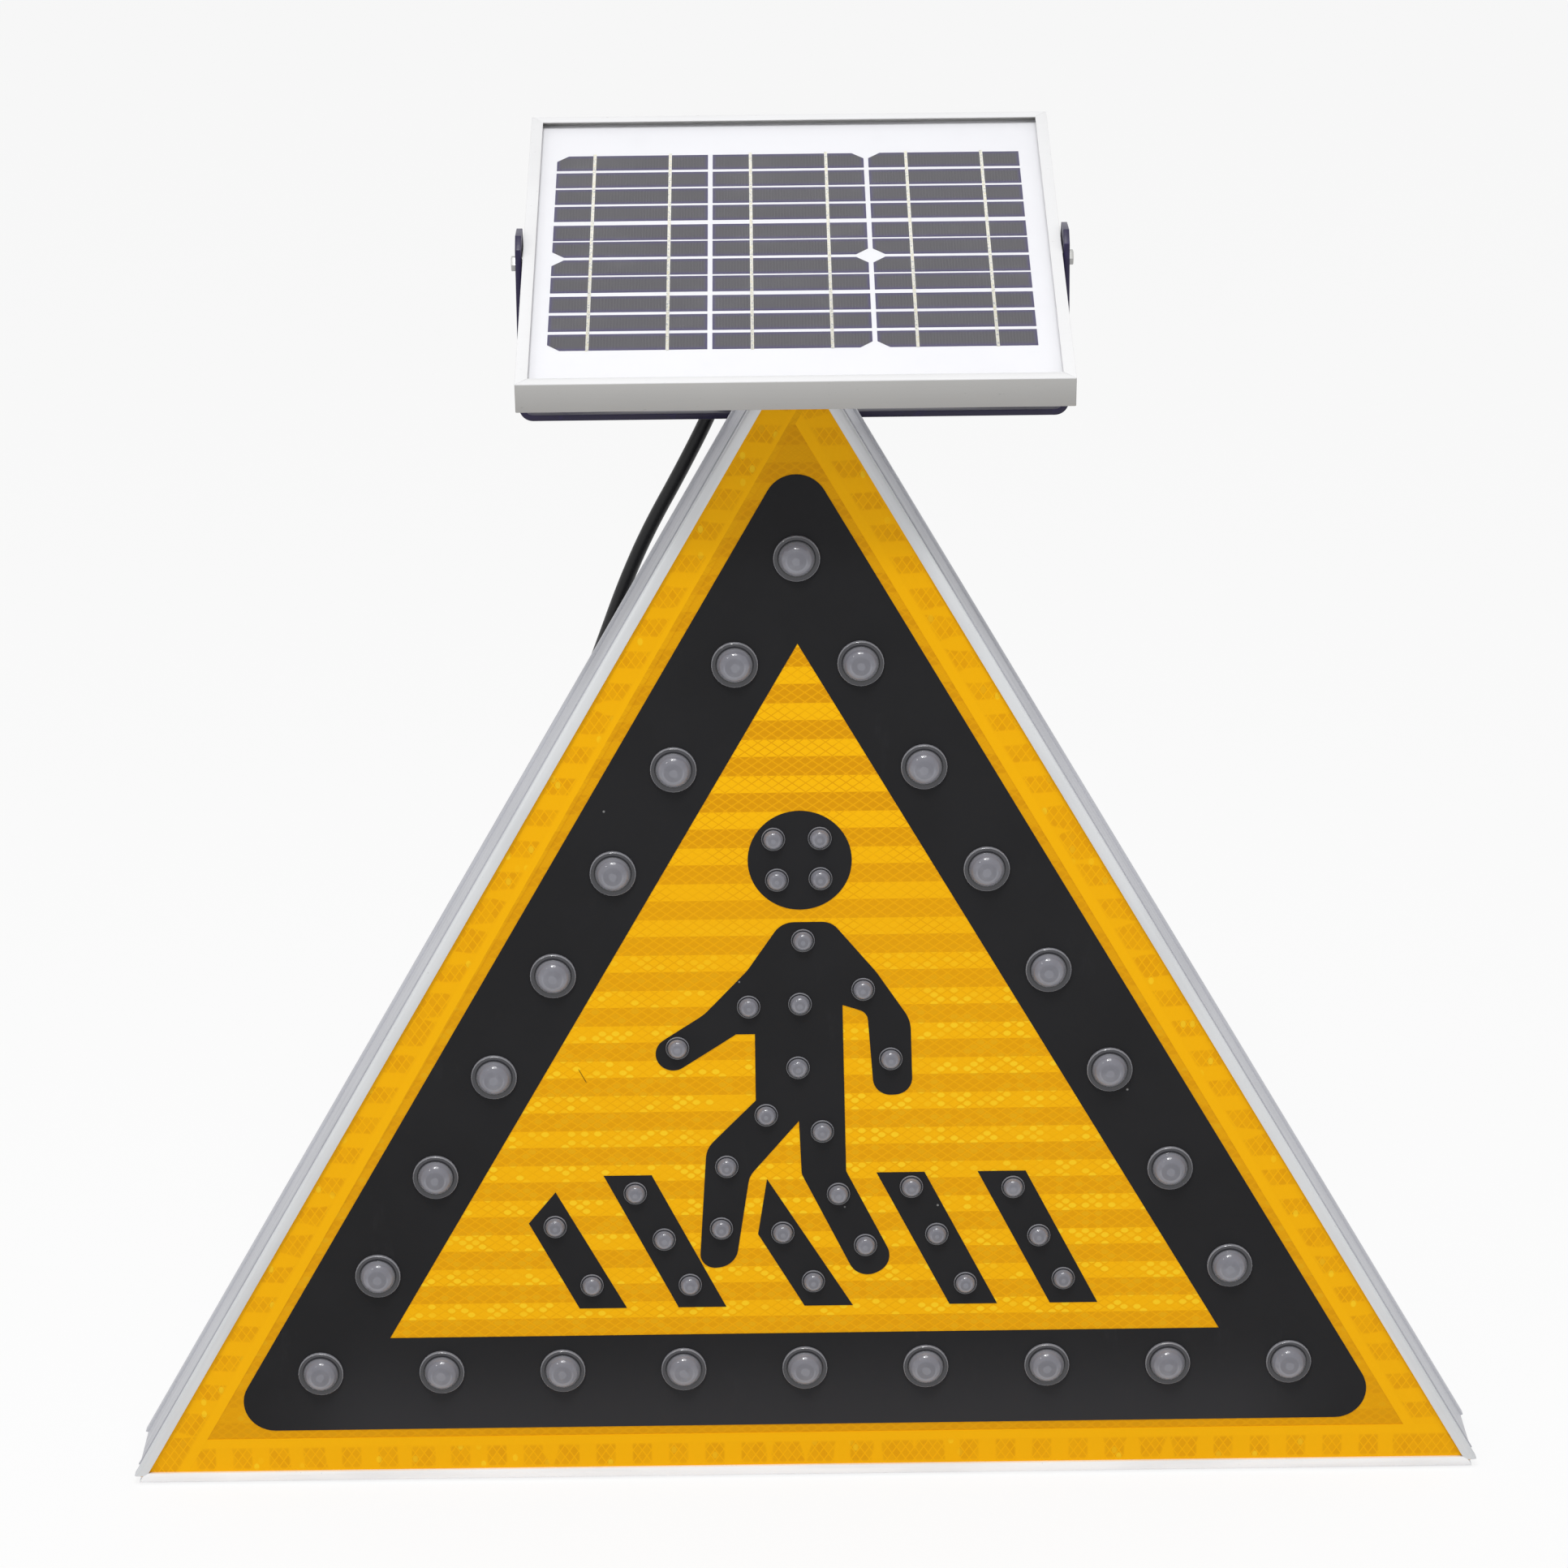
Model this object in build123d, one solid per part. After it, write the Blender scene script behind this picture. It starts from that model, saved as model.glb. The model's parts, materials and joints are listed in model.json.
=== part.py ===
from build123d import *
import math
import os

# Solar pedestrian crossing sign with lamps: a triangular case of aluminium profile, a film covered face
# with a lamp in each hole, and a small solar panel that tilts on a U bracket behind the top corner.
# Millimetres. While it is built, X is to the right, Y goes back from the face's film and Z is up from the
# case's lowest edge. save() then moves each piece so that the origin is the centre of the post holes.

# Case
CASE_SIDE = 700.0          # sharp corner to sharp corner, across the front rim
CASE_DEPTH = 62.0          # front rim to rear rim
CORNER_CUT = 4.0           # taken off each sharp corner, along its bisector
WALL = 1.6                 # profile wall
RIM_PROUD = 1.2            # the two rims stand out from the wall between them
RIM_WIDE = 7.0             # width of each rim along the depth
RIM_ROUND = 1.4            # radius of the rims' outer edges
LIP_REACH = 5.5            # how far the front lip covers the face
LIP_THICK = 1.8
RIDGE_AT = 13.0            # small ridge on the wall, behind the front rim
RIDGE_WIDE = 1.6
RIDGE_PROUD = 0.7
SEAT_REACH = 15.0          # legs that the face and the cover rest on
CHAMBER_FRONT = 20.0       # chamber for the corner keys
CHAMBER_WIDE = 15.0
CHAMBER_REACH = 17.0
KEY_ARM = 46.0             # reach of a corner key from the corner
FIT = 0.2                  # clearance of a piece in its slot or chamber
RUNNING = 0.05             # radial clearance of a pivot bolt in its arm

# Round parts that repeat, and that nothing turns in, have few sides
LARGE_SIDES = 8            # large lenses
SMALL_SIDES = 6            # small lenses, rivets and the panel's lead
BARREL_SIDES = 6           # lamp bodies and their holes
TRIM_SIDES = 12            # glands, washers, nuts and the parts on the board
LEAD_SIDES = 4             # leads inside

# Face
FILM = 0.25                # one layer of film
PLATE = 2.25               # aluminium face sheet, with the yellow sheeting bonded on it
COVER = 2.0                # aluminium rear cover
TAPE_EDGE = 23.5           # inner line of the edge tapes, in from the case's outline
BORDER_EDGE = 28.1         # outer line of the black border, in from the case's outline
BORDER_WIDE = 51.0
BORDER_ROUND = 16.0        # rounded outer corners of the border

# Large lamps
RING_EDGE = 58.2           # line of the large lamps, in from the case's outline
RING_RAISED = 2.5          # the whole ring sits this much above the middle
RING_STEPS = 8             # lamp steps along one side of the ring
LARGE_FLANGE = 24.6        # diameter of the lens flange
LARGE_FLANGE_THICK = 2.0
LARGE_DOME = 18.2          # diameter of the dome at its foot
LARGE_CROWN = 9.0          # diameter of the dome's flat top
LARGE_DOME_RISE = 5.0
LARGE_BARREL = 20.0        # diameter of the lamp's barrel through the face
LAMP_DEPTH = 15.0          # barrel length behind the film, of both sizes

# Small lamps
SMALL_FLANGE = 12.7
SMALL_FLANGE_THICK = 1.2
SMALL_DOME = 10.4
SMALL_CROWN = 5.4
SMALL_DOME_RISE = 3.4
SMALL_BARREL = 10.0
HOLE_EASE = 0.3            # radial room of a barrel in its hole
JUMPER_WIDE = 4.0          # flat lead behind the lamps
JUMPER_THICK = 1.4

# Walking figure and stripes, drawn on a yellow field of this side, from the middle of the field's foot
FIELD_DRAWN = 426.0
HEAD_RADIUS = 26.0
HEAD_UP = 256.2
STRIPE_FOOT = 15.2
STRIPE_TOP = 88.1
STRIPE_WIDE = 24.4
STRIPE_LEAN = 37.0         # the stripe's top lies this far to the left of its foot

# Cover screws
SCREW_HEAD = 8.0
SCREW_HEAD_HIGH = 2.2
SCREW_FROM_CORNER = 90.0   # outer screws of a side, in from the case's corner

# Electrics inside
BOARD = (110.0, 1.6, 70.0)
BOARD_AT = (0.0, 262.0)
STANDOFF = 8.0             # board above the cover
STANDOFF_WIDE = 6.0
STANDOFF_IN = 6.0          # in from the board's edges
TERMINAL = (24.0, 10.0, 9.0)
TERMINAL_PITCH = 34.0
TERMINAL_IN = 1.5          # terminals above the board's lower edge
COIL = 14.0
COIL_HIGH = 9.0
CAN = 10.0
CAN_HIGH = 14.0
CHIP = (16.0, 3.0, 16.0)
BATTERY = (150.0, 22.0, 64.0)
BATTERY_AT = (0.0, 112.0)
STRAP_WIDE = 20.0
STRAP_THICK = 1.2
STRAP_FOOT = 16.0
LEAD = 4.0                 # diameter of the leads inside
LEAD_DROP = 20.0           # straight run of a lead below its terminal

# Rear rails and post holes
RAIL_RISE = 20.0           # from the cover to the rail's back
RAIL_WEB = 36.0
RAIL_FLANGE = 15.0
RAIL_THICK = 2.5
POST_HOLE = 9.0
POST_SPACING_X = 100.0
POST_SPACING_Z = 240.0
RAIL_CLEAR = 30.0          # from the foot of the support angle down to the upper rail
LOWER_RAIL_LONG = 380.0
UPPER_RAIL_LONG = 150.0
RAIL_END = 15.0            # rivets in from the rail's ends
RIVET_HEAD = 9.0
RIVET_HIGH = 1.6

# U bracket and its support
BAR_WIDE = 30.0
BAR_THICK = 3.0
BAR_BEND = 4.0             # inside radius of its two bends
TIP_ABOVE = 15.9           # arm tip above the pivot
TIP_CHAMFER = 6.0
ARM_SPACE = 0.8            # between the panel and an arm, taken up by a washer
PIVOT_BACK = 83.0          # pivot line behind the film
PIVOT_ABOVE = 16.4         # pivot line above the outline's top corner
BAR_DROP = 77.1            # underside of the bar below the pivot
ANGLE_WIDE = 50.0
ANGLE_THICK = 4.0
ANGLE_LEG = 95.0
ANGLE_BEND = 5.0
BOLT = 8.0
BOLT_HEX = 13.0            # across the flats
BOLT_HEAD = 5.0
BOLT_NUT = 6.0
BOLT_END = 3.0             # bolt past its nut
WASHER = 16.0
WASHER_THICK = 1.6
SUPPORT_HEX = 10.0
SUPPORT_HEAD = 4.0
SUPPORT_COLUMNS = 28.0     # from one column of the support's screws to the other
SUPPORT_LOW = 12.0         # lower screws above the foot of the angle
SUPPORT_HIGH = 28.0        # upper screws below the bar
PIVOT_BOLT = 4.0
PIVOT_HEX = 7.0            # across the flats
PIVOT_HEAD = 2.6
PIVOT_NUT = 3.2            # nut thickness
PIVOT_END = 6.0            # bolt past the wall that it goes through
PIVOT_WASHER = 12.0

# Solar panel
PANEL_WIDE = 267.0
PANEL_LONG = 286.0
PANEL_THICK = 15.5
PANEL_TILT = 15.5          # front edge down, in degrees
PIVOT_DROP = 10.4          # pivot below the panel's top face
PANEL_LIP = 1.0            # lip above the glass
PANEL_LIP_REACH = 6.0
PANEL_WALL = 1.5
PANEL_FOOT = 12.0          # inward foot at the bottom of the profile
GLASS = 3.0
CELL_THICK = 0.3
BACKSHEET = 0.6
CELL_COLUMNS = 3
CELL_ROWS = 11
CELL_WIDE = 77.3
CELL_LONG = 16.3
COLUMN_GAP = 2.4
ROW_GAP = 2.8
CELL_CHAMFER = 8.5
FIRST_GROUP = 6            # rows cut from the first wafer, the rest are from the second
RIBBON_WIDE = 1.6
RIBBON_THICK = 0.15
RIBBON_PAST = 4.0          # ribbon past the last cell

# Junction box and the panel's lead
BOX = (62.0, 48.0, 14.0)
BOX_IN = 41.0              # box centre, in from the panel's rear edge
BOX_CORNER = 4.0
BOX_LID = 2.0
LID_IN = 1.0               # lid in from the box's sides
EXIT_SIDE = -14.0          # lead's exit on the box, from the middle
EXIT_LONG = 10.0
EXIT_WIDE = 12.0
EXIT_RUN = 17.0            # first run of the lead
CORD = 7.4
CORD_WALL = 1.2            # gland's wall round the lead, where it ends
GLAND_UP = 330.0
GLAND_INSET = 35.9         # in from the outline's left side
GLAND_BODY = 16.0          # diameter of the gland's thread and body
GLAND_HEX = 19.0           # across the flats
GLAND_SEAT = 6.0           # height of its hexagon
GLAND_LONG = 22.0          # from the cover to its end
GLAND_INSIDE = 8.0         # thread inside the cover
GLAND_NUT = 4.0            # nut thickness

# Positions that follow from the sizes
root3 = math.sqrt(3.0)
case_high = CASE_SIDE * root3 / 2
centre_up = case_high / 3
front = -LIP_THICK
rear = front + CASE_DEPTH
plate_front = FILM
plate_rear = plate_front + PLATE
cover_front = rear - COVER
wall_in = RIM_PROUD + WALL
plate_edge = wall_in + FIT
rail_back = rear + RAIL_RISE
ring_side = CASE_SIDE - 2 * root3 * RING_EDGE
field_foot = BORDER_EDGE + BORDER_WIDE
field_side = CASE_SIDE - 2 * root3 * field_foot
drawn = field_side / FIELD_DRAWN
jumper_front = LAMP_DEPTH
jumper_rear = jumper_front + JUMPER_THICK
pivot_up = case_high + PIVOT_ABOVE
bar_low = pivot_up - BAR_DROP
bar_top = bar_low + BAR_THICK
rail_reach = RAIL_WEB / 2 + RAIL_FLANGE - RAIL_THICK
upper_rail_at = bar_low - ANGLE_LEG - RAIL_CLEAR - rail_reach
lower_rail_at = upper_rail_at - POST_SPACING_Z
gland_x = (GLAND_UP + 2 * GLAND_INSET) / root3 - CASE_SIDE / 2
board_face = cover_front - STANDOFF - BOARD[1]
terminal_foot = BOARD_AT[1] - BOARD[2] / 2 + TERMINAL_IN
origin = (0.0, rail_back, lower_rail_at + POST_SPACING_Z / 2)

os.makedirs("parts", exist_ok=True)


def save(name, *solids):
    """Write one node, moved so that the origin is the centre of the post holes."""
    shift = Pos(-origin[0], -origin[1], -origin[2])
    pieces = [shift * solid for item in solids for solid in item.solids()]
    export_step(pieces[0] if len(pieces) == 1 else Compound(children=pieces), f"parts/{name}.step")


def upright(drawing, near, far):
    """A drawing in X and Z, as a slab from the depth near to the depth far."""
    return Pos(0, far, 0) * Rot(90, 0, 0) * extrude(drawing, far - near)


def forward(shape, x, y, z):
    """A shape built along +Z, turned to face forward and put at a point."""
    return Pos(x, y, z) * Rot(90, 0, 0) * shape


def polygon(points):
    return make_face(Polyline(*points, close=True))


def rounded(corners):
    """A polygon of (x, z, radius) corners."""
    face = polygon([(x, z) for x, z, radius in corners])
    for x, z, radius in corners:
        if radius:
            corner = face.vertices().sort_by_distance((x, z, 0))[0]
            face = fillet(corner, radius)
    return face


def triangle(inset, radius=0.0):
    """The case's outline, moved in by a distance."""
    half = CASE_SIDE / 2 - inset * root3
    corners = [(-half, inset), (half, inset), (0, case_high - 2 * inset)]
    return rounded([(x, z, radius) for x, z in corners])


def sided(diameter, sides):
    """A many sided drawing inside a circle."""
    return RegularPolygon(diameter / 2, sides)


def hexagon(flats, rotation=0.0):
    return RegularPolygon(flats / 2, 6, major_radius=False, rotation=rotation)


def bore(diameter):
    """A many sided drawing round a circle, for a hole that a bolt fills."""
    return RegularPolygon(diameter / 2, TRIM_SIDES, major_radius=False)


def on_field(x, z):
    """A point of the pictogram's drawing, in place."""
    return (x * drawn, field_foot + z * drawn)


def turned(shape, side):
    """A piece of the bottom side, turned about the middle: 0 stays, 1 is the left side, 2 the right side."""
    return Pos(0, 0, centre_up) * Rot(0, 120 * side, 0) * Pos(0, 0, -centre_up) * shape


def block(x, y, z):
    """A box from three (low, high) pairs."""
    size = [high - low for low, high in (x, y, z)]
    middle = [(high + low) / 2 for low, high in (x, y, z)]
    return Pos(*middle) * Box(*size)


def profile():
    """Section of the case profile: X of the drawing is the depth, Y is the distance in from the outline."""

    def leg(depth_low, depth_high, in_low, in_high):
        place = Pos((depth_low + depth_high) / 2, (in_low + in_high) / 2)
        return place * Rectangle(depth_high - depth_low, in_high - in_low)

    def rim(depth_low):
        bead = leg(depth_low, depth_low + RIM_WIDE, 0, wall_in)
        return fillet(bead.vertices().group_by(Axis.Y)[0], RIM_ROUND)

    section = leg(front, rear, RIM_PROUD, wall_in) + rim(front) + rim(rear - RIM_WIDE)
    section += leg(front, 0, RIM_ROUND, LIP_REACH)
    section += leg(RIDGE_AT, RIDGE_AT + RIDGE_WIDE, RIM_PROUD - RIDGE_PROUD, wall_in)
    plate_seat = plate_rear + FIT
    section += leg(plate_seat, plate_seat + WALL, RIM_PROUD, SEAT_REACH)
    cover_seat = cover_front - WALL
    section += leg(cover_seat, cover_front, RIM_PROUD, SEAT_REACH)
    chamber_rear = CHAMBER_FRONT + CHAMBER_WIDE
    chamber = leg(CHAMBER_FRONT, chamber_rear, RIM_PROUD, CHAMBER_REACH)
    section += chamber
    section -= leg(CHAMBER_FRONT + WALL, chamber_rear - WALL, wall_in, CHAMBER_REACH - WALL)
    return section


def frame_members():
    """Three lengths of profile with mitred ends and blunted corners."""
    bar = extrude(Plane.YZ * profile(), CASE_SIDE / 2, both=True)
    wedge = polygon([(-CASE_SIDE / 2, 0), (CASE_SIDE / 2, 0), (0, centre_up)])
    member = bar & upright(wedge, front, rear)
    for corner in (-1, 1):
        reach = 2 * CORNER_CUT / root3 + CASE_DEPTH
        cutter = Box(2 * reach, 4 * CASE_DEPTH, 4 * CASE_DEPTH)
        along = Pos(corner * CASE_SIDE / 2, 0, 0) * Rot(0, -corner * 30, 0)
        member -= along * Pos(corner * (reach - CORNER_CUT), 0, 0) * cutter
    names = ("frame_bottom", "frame_left", "frame_right")
    for side, name in enumerate(names):
        save(name, turned(member, side))


def corner_keys():
    """A key in the chamber of each corner, with one arm in each of the two members."""
    near = CHAMBER_FRONT + WALL + FIT
    far = CHAMBER_FRONT + CHAMBER_WIDE - WALL - FIT
    ring = triangle(wall_in + FIT) - triangle(CHAMBER_REACH - WALL - FIT)
    keys = []
    for side in range(3):
        reach = Pos(-CASE_SIDE / 2, 0) * Circle(KEY_ARM + 2 * CHAMBER_REACH)
        keys.append(turned(upright(ring & reach, near, far), side))
    save("corner_keys", *keys)


def ring_places():
    """Centres of the large lamps, from the top corner down the left side, along the foot and up the right."""
    foot = RING_EDGE + RING_RAISED
    corners = [(0, foot + ring_side * root3 / 2), (-ring_side / 2, foot), (ring_side / 2, foot)]
    places = []
    for index in range(3):
        start = corners[index]
        end = corners[(index + 1) % 3]
        for step in range(RING_STEPS):
            share = step / RING_STEPS
            places.append((start[0] + (end[0] - start[0]) * share, start[1] + (end[1] - start[1]) * share))
    return places


def figure_chains():
    """Small lamps in the figure, along their leads: a branch starts at a lamp of an earlier chain."""
    hip = (-1.9, 146.2)
    chest = (-0.6, 180.4)
    neck = (1.2, 214.3)
    return [
        [(-41.9, 59.1), (-38.7, 92.9), (-18.3, 120.7), hip, chest, (-26.5, 179.2), (-62.7, 157.5)],
        [hip, (10.1, 111.5), (18.0, 77.3), (31.6, 49.0)],
        [chest, neck, (31.3, 187.9), (45.0, 150.4)],
        [neck, (10.3, 247.0), (10.1, 268.2), (-13.1, 268.0), (-11.5, 246.5)],
    ]


def stripe_chains():
    """Small lamps in the stripes, one chain for each stripe, from its foot up."""
    return [
        [(-108.6, 28.6), (-126.7, 61.1)],
        [(-58.3, 28.2), (-71.2, 53.4), (-85.5, 79.0)],
        [(4.8, 29.3), (-10.6, 56.4)],
        [(82.7, 27.3), (68.1, 54.6), (55.2, 80.7)],
        [(132.8, 29.3), (120.2, 53.2), (107.0, 79.9)],
    ]


def chain_links():
    """Leads that join the chains, from the last or first lamp of one to that of the next."""
    figure = figure_chains()
    first, second, third, fourth, fifth = stripe_chains()
    left_foot = figure[0][0]
    right_foot = figure[1][-1]
    return [
        [first[0], second[0]], [second[-1], left_foot, third[-1]], [right_foot, fourth[-1], fifth[-1]],
    ]


large_places = ring_places()
small_chains = [[on_field(x, z) for x, z in chain] for chain in figure_chains() + stripe_chains()]
small_places = list(dict.fromkeys(place for chain in small_chains for place in chain))


def holes(places, barrel):
    """Cutters for the lamps' holes, through all layers of the face."""
    cutter = extrude(sided(barrel + 2 * HOLE_EASE, BARREL_SIDES), 4 * PLATE, both=True)
    return [forward(cutter, x, plate_front, z) for x, z in places]


def face_layers():
    """The yellow faced sheet, three edge tapes and the black films."""
    large = holes(large_places, LARGE_BARREL)
    small = holes(small_places, SMALL_BARREL)
    outline = triangle(plate_edge)
    save("front_plate", upright(outline, plate_front, plate_rear) - large - small)

    strip = Pos(0, TAPE_EDGE / 2) * Rectangle(2 * CASE_SIDE, TAPE_EDGE)
    middle = Pos(0, centre_up)
    strips = [middle * Rot(0, 0, -120 * side) * Pos(0, -centre_up) * strip for side in range(3)]
    bottom = (outline & strips[0]) - strips[1]
    left = outline & strips[1]
    right = (outline & strips[2]) - strips[0] - strips[1]
    for name, tape in (("edge_tape_bottom", bottom), ("edge_tape_left", left), ("edge_tape_right", right)):
        save(name, upright(tape, 0, FILM))

    border = triangle(BORDER_EDGE, BORDER_ROUND) - triangle(BORDER_EDGE + BORDER_WIDE)
    save("border_film", upright(border, 0, FILM) - large)
    head = Pos(*on_field(0, HEAD_UP)) * Circle(HEAD_RADIUS * drawn)
    save("walker_film", (upright(head, 0, FILM) - small), (upright(walker_body(), 0, FILM) - small))
    save("stripe_film", *[upright(stripe, 0, FILM) - small for stripe in stripes()])


def walker_body():
    """Outline of the walking figure below its head, from the left shoulder round to the right one."""
    corners = [
        (-9.5, 223.5, 12.0), (-27.0, 197.9, 30.0), (-49.0, 174.7, 25.0),
        (-77.5, 156.1, 8.8), (-67.2, 141.8, 8.8),
        (-33.0, 164.0, 0), (-23.5, 164.0, 0), (-23.5, 128.1, 0),
        (-48.9, 102.3, 14.0), (-53.4, 35.9, 7.5), (-34.9, 37.9, 11.0), (-27.2, 87.0, 12.0),
        (-1.7, 116.8, 0), (-0.6, 87.8, 5.0),
        (28.1, 28.7, 10.0), (47.2, 38.2, 10.0), (22.0, 89.1, 4.0),
        (20.8, 179.1, 0), (33.3, 174.9, 6.0),
        (36.6, 129.9, 9.0), (56.0, 130.9, 9.0), (55.1, 170.5, 18.0), (38.0, 196.4, 30.0),
        (15.6, 223.5, 10.0),
    ]
    return rounded([(*on_field(x, z), radius * drawn) for x, z, radius in corners])


def stripes():
    """Five leaning stripes: the first and the third are cut short."""

    def shape(points):
        return polygon([on_field(x, z) for x, z in points])

    def whole(foot_left):
        top_left = foot_left - STRIPE_LEAN
        return shape([
            (foot_left, STRIPE_FOOT), (foot_left + STRIPE_WIDE, STRIPE_FOOT),
            (top_left + STRIPE_WIDE, STRIPE_TOP), (top_left, STRIPE_TOP),
        ])

    first = shape([(-115.2, STRIPE_FOOT), (-91.0, STRIPE_FOOT), (-126.1, 79.4), (-140.1, 62.5)])
    third = shape([(0.2, STRIPE_FOOT), (24.9, STRIPE_FOOT), (-18.3, 85.2), (-23.2, 55.1)])
    return [first, whole(-64.4), third, whole(74.5), whole(126.0)]


def lamps(name, places, sides, flange, flange_thick, dome, crown, dome_rise, barrel):
    """Lenses in front of the face and bodies through it, one of each at every place."""
    foot = Pos(0, 0, flange_thick)
    taper = math.degrees(math.atan((dome - crown) / 2 / dome_rise))
    bulge = extrude(foot * sided(dome, sides), dome_rise, taper=taper)
    lens = extrude(sided(flange, sides), flange_thick) + bulge
    body = Pos(0, 0, -LAMP_DEPTH) * extrude(sided(barrel, BARREL_SIDES), LAMP_DEPTH)
    save(name + "_lenses", *[forward(lens, x, 0, z) for x, z in places])
    save(name + "_bodies", *[forward(body, x, 0, z) for x, z in places])


def lamp_jumpers():
    """Flat leads on the backs of the lamps: a ring for the large ones, joined to a net for the small ones."""
    half = JUMPER_WIDE / 2
    net = Pos(0, RING_RAISED) * (triangle(RING_EDGE - half) - triangle(RING_EDGE + half))
    links = [[on_field(x, z) for x, z in chain] for chain in chain_links()]
    foot = min(small_places, key=lambda place: math.dist(place, (0, 0)))
    links.append([foot, min(large_places, key=lambda place: math.dist(place, foot))])
    for chain in small_chains + links:
        for start, end in zip(chain, chain[1:]):
            lean = math.degrees(math.atan2(end[1] - start[1], end[0] - start[0]))
            middle = Pos((start[0] + end[0]) / 2, (start[1] + end[1]) / 2)
            net += middle * Rot(0, 0, lean) * Rectangle(math.dist(start, end) + JUMPER_WIDE, JUMPER_WIDE)
    save("lamp_jumpers", upright(net, jumper_front, jumper_rear))


def rear_cover():
    """The cover on the rear seat, with holes for the gland and the support's screws, and its screws."""
    sheet = upright(triangle(plate_edge), cover_front, rear)
    hole = extrude(sided(GLAND_BODY + 2 * HOLE_EASE, TRIM_SIDES), 4 * COVER, both=True)
    save("rear_cover", sheet - forward(hole, gland_x, rear, GLAND_UP))
    head = forward(extrude(sided(SCREW_HEAD, 6), SCREW_HEAD_HIGH), 0, rear + SCREW_HEAD_HIGH, 0)
    reach = CASE_SIDE / 2 - SCREW_FROM_CORNER
    line = (wall_in + SEAT_REACH) / 2
    row = [Pos(share * reach, 0, line) * head for share in (-1, -1 / 3, 1 / 3, 1)]
    save("cover_screws", *[turned(screw, side) for side in range(3) for screw in row])


def rail(name, height, length):
    """A hat profile rail along X on the cover, with two post holes, and its four rivets."""
    half = RAIL_WEB / 2
    inner = half - RAIL_THICK
    hat = polygon([
        (rear, rail_reach), (rear + RAIL_THICK, rail_reach), (rear + RAIL_THICK, half), (rail_back, half),
        (rail_back, -half), (rear + RAIL_THICK, -half), (rear + RAIL_THICK, -rail_reach), (rear, -rail_reach),
        (rear, -inner), (rail_back - RAIL_THICK, -inner), (rail_back - RAIL_THICK, inner), (rear, inner),
    ])
    outer = hat.vertices().filter_by(lambda v: abs(v.X - rail_back) < 1e-6)
    hat = fillet(outer, RAIL_THICK)
    bar = Pos(0, 0, height) * extrude(Plane.YZ * hat, length / 2, both=True)
    hole = Cylinder(POST_HOLE / 2, 4 * RAIL_THICK)
    for side in (-1, 1):
        bar -= forward(hole, side * POST_SPACING_X / 2, rail_back, height)
    save(name, bar)
    rivet = forward(extrude(sided(RIVET_HEAD, SMALL_SIDES), RIVET_HIGH), 0, rear + RAIL_THICK + RIVET_HIGH, 0)
    lift = half + (RAIL_FLANGE - RAIL_THICK) / 2
    along = length / 2 - RAIL_END
    return [Pos(x, 0, height + z) * rivet for x in (-along, along) for z in (-lift, lift)]


def electrics():
    """The control board on standoffs and the battery in its strap, on the inside of the cover."""
    x, z = BOARD_AT
    board_rear = cover_front - STANDOFF
    save("controller_board", Pos(x, board_rear - BOARD[1] / 2, z) * Box(*BOARD))
    post = forward(extrude(sided(STANDOFF_WIDE, 6), STANDOFF), 0, cover_front, 0)
    reach = (BOARD[0] / 2 - STANDOFF_IN, BOARD[2] / 2 - STANDOFF_IN)
    posts = [Pos(x + i * reach[0], 0, z + j * reach[1]) * post for i in (-1, 1) for j in (-1, 1)]
    save("board_standoffs", *posts)
    row = terminal_foot + TERMINAL[2] / 2
    ends = (-TERMINAL_PITCH, 0, TERMINAL_PITCH)
    terminals = [Pos(x + shift, board_face - TERMINAL[1] / 2, row) * Box(*TERMINAL) for shift in ends]
    coil = forward(extrude(sided(COIL, TRIM_SIDES), COIL_HIGH), x - BOARD[0] / 4, board_face, z + COIL / 2)
    chip = Pos(x + CHIP[0] / 2, board_face - CHIP[1] / 2, z + CHIP[2] / 2) * Box(*CHIP)
    can = forward(extrude(sided(CAN, TRIM_SIDES), CAN_HIGH), x + BOARD[0] / 3, board_face, z + CAN)
    save("board_parts", *terminals, coil, chip, can)

    x, z = BATTERY_AT
    pack_front = cover_front - BATTERY[1]
    save("battery_pack", Pos(x, cover_front - BATTERY[1] / 2, z) * Box(*BATTERY))
    half = BATTERY[2] / 2 + FIT
    strap = block((-STRAP_WIDE / 2, STRAP_WIDE / 2), (pack_front - FIT - STRAP_THICK, cover_front),
                  (-half - STRAP_THICK, half + STRAP_THICK))
    strap -= block((-STRAP_WIDE, STRAP_WIDE), (pack_front - FIT, rear), (-half, half))
    for side in (-1, 1):
        low = side * half if side > 0 else -half - STRAP_THICK - STRAP_FOOT
        strap += block((-STRAP_WIDE / 2, STRAP_WIDE / 2), (cover_front - STRAP_THICK, cover_front),
                       (low, low + STRAP_THICK + STRAP_FOOT))
    save("battery_strap", *[Pos(x + side * BATTERY[0] / 4, 0, z) * strap for side in (-1, 1)])


def tube(points, diameter, sides, share=0.45):
    """A tube of straight runs and tangent arcs along chosen points. Returns it, its radii and its length."""
    vectors = [Vector(*point) for point in points]
    radii = []
    for before, corner, after in zip(vectors, vectors[1:], vectors[2:]):
        turn = math.radians((corner - before).get_angle(after - corner))
        shorter = min((corner - before).length, (after - corner).length)
        radii.append(share * shorter / math.tan(turn / 2))
    path = FilletPolyline(*points, radius=radii)
    start = Plane(origin=path @ 0, z_dir=path % 0)
    return sweep(start * sided(diameter, sides), path=path), radii, path.length


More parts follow.
